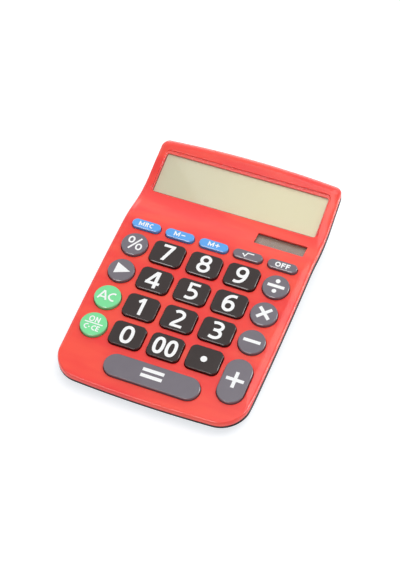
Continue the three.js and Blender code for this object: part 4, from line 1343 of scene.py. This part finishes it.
# each digit: strokes as (points, pen, closed), then filled shapes
digits = {
    "0": ([(oval(0, -0.2, 2.5, 4.34, 2.4), 1.75, True)], []),
    "1": ([], [rectangle(-0.3, 1.4, -5, 5.1),
               [(-2.45, 2.95), (-1.55, 1.85), (0.2, 3.1), (0.2, 5.1), (-0.25, 5.1)]]),
    "2": ([(curved([(-2.6, 3.3), (-1.6, 3.95), (-0.4, 4.15), (0.95, 3.85), (1.9, 3.05), (2.15, 2), (1.85, 0.9),
                    (1.2, -0.1), (0.3, -1.15), (-0.7, -2.15), (-1.7, -3.15), (-2.25, -4.1)]), pen, False)],
          [rectangle(-3.2, 3.1, -5.3, -3.8)]),
    "3": ([(curved([(-2.85, 3.95), (-1.7, 4.28), (-0.4, 4.37), (0.9, 4.15), (1.85, 3.5), (2.27, 2.6), (1.95, 1.4),
                    (1.1, 0.55), (-0.1, 0.15), (-1.85, 0.12)]), pen, False),
           (curved([(-1.85, 0.12), (0, 0.1), (1.25, -0.3), (2.15, -1.1), (2.42, -2.1), (2.1, -3.2), (1.2, -4.05),
                    (-0.2, -4.42), (-1.7, -4.3), (-3.1, -3.95)]), pen, False)], []),
    "4": ([], [rectangle(0.35, 2.1, -5.1, 5.1), rectangle(-4.2, 3.4, -3, -1.4),
               [(-4.2, -3), (-2.1, -3), (-2.1, -1.4), (0.45, 2.7), (0.45, 5.1), (-0.2, 5.1), (-4.2, -1.9)]]),
    "5": ([(curved([(-1.75, 0.25), (-0.8, 0.62), (0.35, 0.77), (1.55, 0.4), (2.5, -0.45), (2.82, -1.65), (2.4, -2.95),
                    (1.4, -3.85), (0, -4.25), (-1.25, -4.2), (-2.5, -3.9)]), pen, False)],
          [rectangle(-2.4, 3.3, 3.65, 5.1),
           [(-2.3, -0.5), (-1.3, -0.3), (-0.85, 1), (-0.8, 5.1), (-2.4, 5.1)]]),
    "6": ([(oval(-0.07, -1.89, 2.43, 2.54, 2.1), pen, True),
           (curved([(-2.5, -1.9), (-2.72, -0.4), (-2.5, 1.3), (-1.8, 2.8), (-0.6, 3.9), (0.9, 4.38), (2.75, 4.3)]),
            pen, False)], []),
    "7": ([], [[(-3.3, 5.3), (-3.3, 3.75), (0.9, 3.75), (-2.3, -4.7), (-0.4, -4.7), (3, 4.3), (3, 5.3)]]),
    "8": ([(oval(0, 2.77, 2.27, 2.16, 2.1), 1.62, True), (oval(0, -1.84, 2.7, 2.34, 2.1), pen, True)], []),
    "9": ([(oval(-0.25, 2.2, 2.47, 2.56, 2.1), pen, True),
           (curved([(2.2, 2.4), (2.22, 1), (2, -0.6), (1.45, -2.1), (0.6, -3.25), (-0.6, -3.9), (-1.9, -4.1),
                    (-3.35, -3.8)]), pen, False)], []),
}


def bar(x1, y1, x2, y2, pen):
    return ([(x1, y1), (x2, y2)], pen, False)


def letterA(x, y, pen):
    return [bar(x - 2.25, y - 2.7, x - 0.05, y + 2.7, pen), bar(x + 0.05, y + 2.7, x + 2.25, y - 2.7, pen),
            bar(x - 1.3, y - 1.2, x + 1.3, y - 1.2, pen * 0.9)]


def letterC(x, y, width, height, pen):
    w, h = (width - pen) / 2, (height - pen) / 2
    line = [(w, 0.88 * h), (0.45 * w, h), (-0.2 * w, 0.85 * h), (-0.8 * w, 0.45 * h), (-w, 0),
            (-0.8 * w, -0.45 * h), (-0.2 * w, -0.85 * h), (0.45 * w, -h), (w, -0.88 * h)]
    return [(moved(curved(line), x, y), pen, False)]


def letterE(x, y, width, height, pen, bottom=True):
    left, high = x - width / 2 + pen / 2, y + height / 2
    low = y - height / 2
    strokes = [bar(left, low, left, high, pen), bar(left, high - pen / 2, x + width / 2, high - pen / 2, pen),
               bar(left, y, x + 0.4 * width, y, pen)]
    if bottom:
        strokes.append(bar(left, low + pen / 2, x + width / 2, low + pen / 2, pen))
    return strokes


def letterM(x, y, width, height, pen):
    w, h = (width - pen) / 2, height / 2
    return [bar(x - w, y - h, x - w, y + h, pen), bar(x + w, y - h, x + w, y + h, pen),
            ([(x - w, y + h - pen / 2), (x, y - 0.6 * h), (x + w, y + h - pen / 2)], pen, False)]


def letterN(x, y, width, height, pen):
    w, h = (width - pen) / 2, height / 2
    return [bar(x - w, y - h, x - w, y + h, pen), bar(x + w, y - h, x + w, y + h, pen),
            bar(x - w, y + h - pen / 2, x + w, y - h + pen / 2, pen)]


def letterR(x, y, width, height, pen):
    w, h = (width - pen) / 2, height / 2
    bowl = [(-w, h - pen / 2), (0.2 * w, h - pen / 2), (w, 0.52 * h), (0.2 * w, 0.08 * h), (-w, 0.08 * h)]
    return [bar(x - w, y - h, x - w, y + h, pen), (moved(bowl, x, y), pen, False),
            bar(x, y + 0.08 * h, x + w, y - h, pen)]


def letterO(x, y, width, height, pen):
    return [(oval(x, y, (width - pen) / 2, (height - pen) / 2, 2.2), pen, True)]


# The two edges of a flat pen's stroke, with mitred corners
def strokeSides(points, width, closed):
    count = len(points)
    leftSide, rightSide = [], []
    for i, point in enumerate(points):
        here = Vector(point)
        before = Vector(points[i - 1]) if closed or i > 0 else here
        after = Vector(points[(i + 1) % count]) if closed or i < count - 1 else here
        ways = [way.normalized() for way in (here - before, after - here) if way.length > 0]
        normals = [Vector((-way.y, way.x)) for way in ways]
        across = sum(normals, Vector((0, 0))).normalized()
        reach = width / 2 / max(across.dot(normals[0]), 0.4)
        leftSide.append(here + across * reach)
        rightSide.append(here - across * reach)
    return leftSide, rightSide


def strokeSolid(points, width, closed, low, high):
    leftSide, rightSide = strokeSides(points, width, closed)
    corners = []
    for a, b in zip(leftSide, rightSide):
        corners += [(a.x, a.y, high), (b.x, b.y, high), (b.x, b.y, low), (a.x, a.y, low)]
    count = len(points)
    faces = []
    for i in range(count if closed else count - 1):
        j = (i + 1) % count
        for k in range(4):
            nextK = (k + 1) % 4
            faces.append((4 * i + k, 4 * i + nextK, 4 * j + nextK, 4 * j + k))
    if not closed:
        faces.append((3, 2, 1, 0))
        faces.append(tuple(4 * (count - 1) + k for k in range(4)))
    return newObject("stroke", corners, faces)


def keySigns():
    signs = {"key_" + name: sign for name, sign in digits.items()}
    zero = oval(0, -0.28, 2.1, 4.1, 2.4)
    signs["key_00"] = ([(moved(zero, x, 0), 1.72, True) for x in (-3.32, 3.28)], [])
    signs["key_point"] = ([], [oval(-0.08, -0.13, 1.7, 1.7)])
    signs["key_equals"] = ([bar(-5.5, y, 5.8, y, 1.85) for y in (2.4, -1)], [])
    signs["key_plus"] = ([bar(-4.6, 0.25, 4.6, 0.25, 1.8), bar(0, -4.35, 0, 4.85, 1.8)], [])
    signs["key_minus"] = ([bar(-4.5, 0.2, 4.5, 0.2, 1.75)], [])
    signs["key_divide"] = ([bar(-4.5, 0.1, 4.5, 0.1, 1.75)],
                           [oval(0.05, 3.25, 1.22, 1.22), oval(0, -2.95, 1.2, 1.2)])
    signs["key_multiply"] = ([bar(-3.15, 3.35, 3.25, -2.8, 1.75), bar(-3.1, -2.8, 3.25, 3.35, 1.75)], [])
    signs["key_percent"] = ([(oval(-2.35, 2.1, 1.33, 1.73, 2.2), 0.9, True),
                             (oval(2.8, -1.3, 1.33, 1.68, 2.2), 0.9, True),
                             bar(-2.3, -3.6, 2.75, 4.1, 0.95)], [])
    signs["key_shift"] = ([], [[(-3.25, -2.95), (4.85, 0.3), (-3.25, 3.9)]])
    signs["key_ac"] = (letterA(-2.4, 0.25, 0.9) + letterC(2.35, 0.25, 4.1, 5.2, 0.9), [])
    signs["key_on_c_ce"] = (letterO(-1.9, 2.6, 2.9, 3.4, 0.62) + letterN(1.25, 2.6, 2.4, 3.3, 0.62)
                            + [bar(-4.9, 0.3, 4.9, 0.3, 0.6)] + letterC(-3.1, -2.3, 2.4, 3.1, 0.6)
                            + letterC(1, -2.3, 2.4, 3.1, 0.6) + letterE(3.1, -2.3, 1.7, 3.1, 0.6),
                            [oval(-1.5, -2.35, 0.4, 0.4)])
    signs["key_mrc"] = (letterM(-2.65, 0, 2.9, 2.8, 0.55) + letterR(0.3, 0, 1.9, 2.8, 0.55)
                        + letterC(2.75, 0, 2.1, 2.8, 0.55), [])
    signs["key_m_minus"] = (letterM(-1.6, 0.1, 3.1, 2.8, 0.6) + [bar(0.8, 0.1, 3, 0.1, 0.6)], [])
    signs["key_m_plus"] = (letterM(-1.4, 0.1, 3.2, 2.8, 0.6)
                           + [bar(0.8, 0.1, 3.2, 0.1, 0.6), bar(2, -1.1, 2, 1.3, 0.6)], [])
    root = [(-3, -0.05), (-2.55, 0.15), (-1.45, -1.25), (-0.3, 1.1), (3.1, 1.1)]
    signs["key_sqrt"] = ([(root, 0.6, False)], [])
    signs["key_off"] = (letterO(-2.4, -0.1, 3, 3, 0.75) + letterE(0.55, -0.1, 2.1, 3, 0.72, bottom=False)
                        + letterE(3, -0.1, 2.1, 3, 0.72, bottom=False), [])
    return signs


def signSolid(strokes, shapes):
    low, high = -legend["sink"], legend["inkHeight"]
    solids = [strokeSolid(points, width, closed, low, high) for points, width, closed in strokes]
    solids += [loopStack("shape", [[(u, v, z) for u, v in shape] for z in (high, low)]) for shape in shapes]
    whole = solids[0]
    outward(whole)
    for other in solids[1:]:
        outward(other)
        combine(whole, other, "UNION")
    return whole


def makeLegends():
    signs = keySigns()
    for name, (strokes, shapes) in signs.items():
        x, s = places[name][:2]
        ink = signSolid(strokes, shapes)
        ink.name = name + "_legend"
        place = deckMatrix @ Matrix.Translation((x, s, keys["rise"]))
        finishPiece(ink, place, whiteInk, name, sharpAngle=30, weighted=False)
    print("legends printed:", len(signs))


makeLegends()


# Camera
camera = {
    "place": (171.64, -326.62, 594.89),  # deck coordinates
    "right": (0.9289, 0.3674, -0.0377),
    "down": (0.2847, -0.7774, -0.5617),
    "focalPixels": 1413,
    "longSidePixels": 570,
    "sensor": 36,
    "clipStart": 0.01,
}


def makeCamera():
    data = bpy.data.cameras.new("camera")
    obj = bpy.data.objects.new("camera", data)
    bpy.context.scene.collection.objects.link(obj)
    turn = Matrix.Rotation(radians(deck["tilt"]), 3, "X")
    right = (turn @ Vector(camera["right"])).normalized()
    up = -(turn @ Vector(camera["down"])).normalized()
    back = right.cross(up).normalized()
    up = back.cross(right)
    place = deckMatrix @ Vector(camera["place"])
    obj.matrix_world = Matrix((
        (right.x, up.x, back.x, place.x),
        (right.y, up.y, back.y, place.y),
        (right.z, up.z, back.z, place.z),
        (0, 0, 0, 1),
    ))
    data.sensor_width = camera["sensor"]
    data.lens = camera["focalPixels"] * camera["sensor"] / camera["longSidePixels"]
    data.clip_start = camera["clipStart"]
    bpy.context.scene.camera = obj


makeCamera()


# Studio
studio = {
    "floorSize": 6,
    "floorColour": "#FFFFFF",
    "floorGlow": (0.71, 0.85),  # what the camera sees of the floor besides its own shading, near and far away
    "floorGlowRange": (0.2, 0.8),
    "floorGlowColour": "#F8FBFF",
    "floorShading": 0.48,
    "worldStrength": 0.57,
    "lamps": (
        # name, azimuth from the right towards the back, elevation, distance, size, radiance
        ("softbox overhead", 45, 70, 1.3, (0.85, 1.4), 2.2),
        ("lit wall back", 96, 13, 1.7, (2.2, 0.7), 1.8),
        ("dim wall back", 105, 43, 1.7, (2, 0.85), 0.4),
        ("lit wall right", 24, 10, 1.7, (1.6, 0.4), 10),
        ("strip light front left", 250, 32, 1.2, (1.2, 0.35), 12),
    ),
    "onlyShown": ("strip light front left", "lit wall right"),  # they draw thin highlights and light nothing
}


# 1 for the rays that show the surroundings, 0 for those that light the object
def shownRays(tree):
    path = addNode(tree, "ShaderNodeLightPath")
    seen = calculated(tree, "MAXIMUM", path.outputs["Is Camera Ray"], path.outputs["Is Glossy Ray"])
    return calculated(tree, "MAXIMUM", seen, path.outputs["Is Transmission Ray"])


def makeFloor():
    half = studio["floorSize"] / 2
    floor = newObject("floor", [(-half, -half, 0), (half, -half, 0), (half, half, 0), (-half, half, 0)],
                      [(0, 1, 2, 3)])
    material, tree, place = newMaterial("matt white table top")
    lit = addNode(tree, "ShaderNodeBsdfDiffuse", {"Color": hexColour(studio["floorColour"])})
    away = addNode(tree, "ShaderNodeVectorMath", {0: place}, operation="LENGTH")
    near, far = [strength / (1 - studio["floorShading"]) for strength in studio["floorGlow"]]
    strength = ranged(tree, away.outputs["Value"], *studio["floorGlowRange"], near, far,
                      interpolation_type="SMOOTHSTEP")
    glow = addNode(tree, "ShaderNodeEmission",
                   {"Color": hexColour(studio["floorGlowColour"]), "Strength": strength})
    pale = addNode(tree, "ShaderNodeMixShader",
                   {0: studio["floorShading"], 1: glow.outputs[0], 2: lit.outputs[0]})
    chosen = addNode(tree, "ShaderNodeMixShader", {0: shownRays(tree), 1: lit.outputs[0], 2: pale.outputs[0]})
    addNode(tree, "ShaderNodeOutputMaterial", {"Surface": chosen.outputs[0]})
    floor.data.materials.append(material)


def makeLights():
    world = bpy.data.worlds.new("studio")
    bpy.context.scene.world = world
    world.use_nodes = True
    tree = world.node_tree
    tree.nodes.clear()
    light = addNode(tree, "ShaderNodeBackground", {"Color": (1, 1, 1, 1), "Strength": studio["worldStrength"]})
    white = addNode(tree, "ShaderNodeBackground", {"Color": (1, 1, 1, 1), "Strength": 1.0})
    chosen = addNode(tree, "ShaderNodeMixShader",
                     {0: shownRays(tree), 1: light.outputs[0], 2: white.outputs[0]})
    addNode(tree, "ShaderNodeOutputWorld", {"Surface": chosen.outputs[0]})

    for name, azimuth, elevation, distance, size, radiance in studio["lamps"]:
        data = bpy.data.lights.new(name, "AREA")
        data.shape = "RECTANGLE"
        data.size, data.size_y = size
        data.energy = radiance * math.pi * size[0] * size[1]
        lamp = bpy.data.objects.new(name, data)
        bpy.context.scene.collection.objects.link(lamp)
        flat = distance * math.cos(radians(elevation))
        lamp.location = (flat * math.cos(radians(azimuth)), flat * math.sin(radians(azimuth)),
                         distance * math.sin(radians(elevation)))
        lamp.rotation_euler = (-lamp.location).to_track_quat("-Z", "Y").to_euler()
        lamp.visible_diffuse = name not in studio["onlyShown"]
    bpy.context.scene.view_settings.view_transform = "Standard"


makeFloor()
makeLights()
print("studio made")
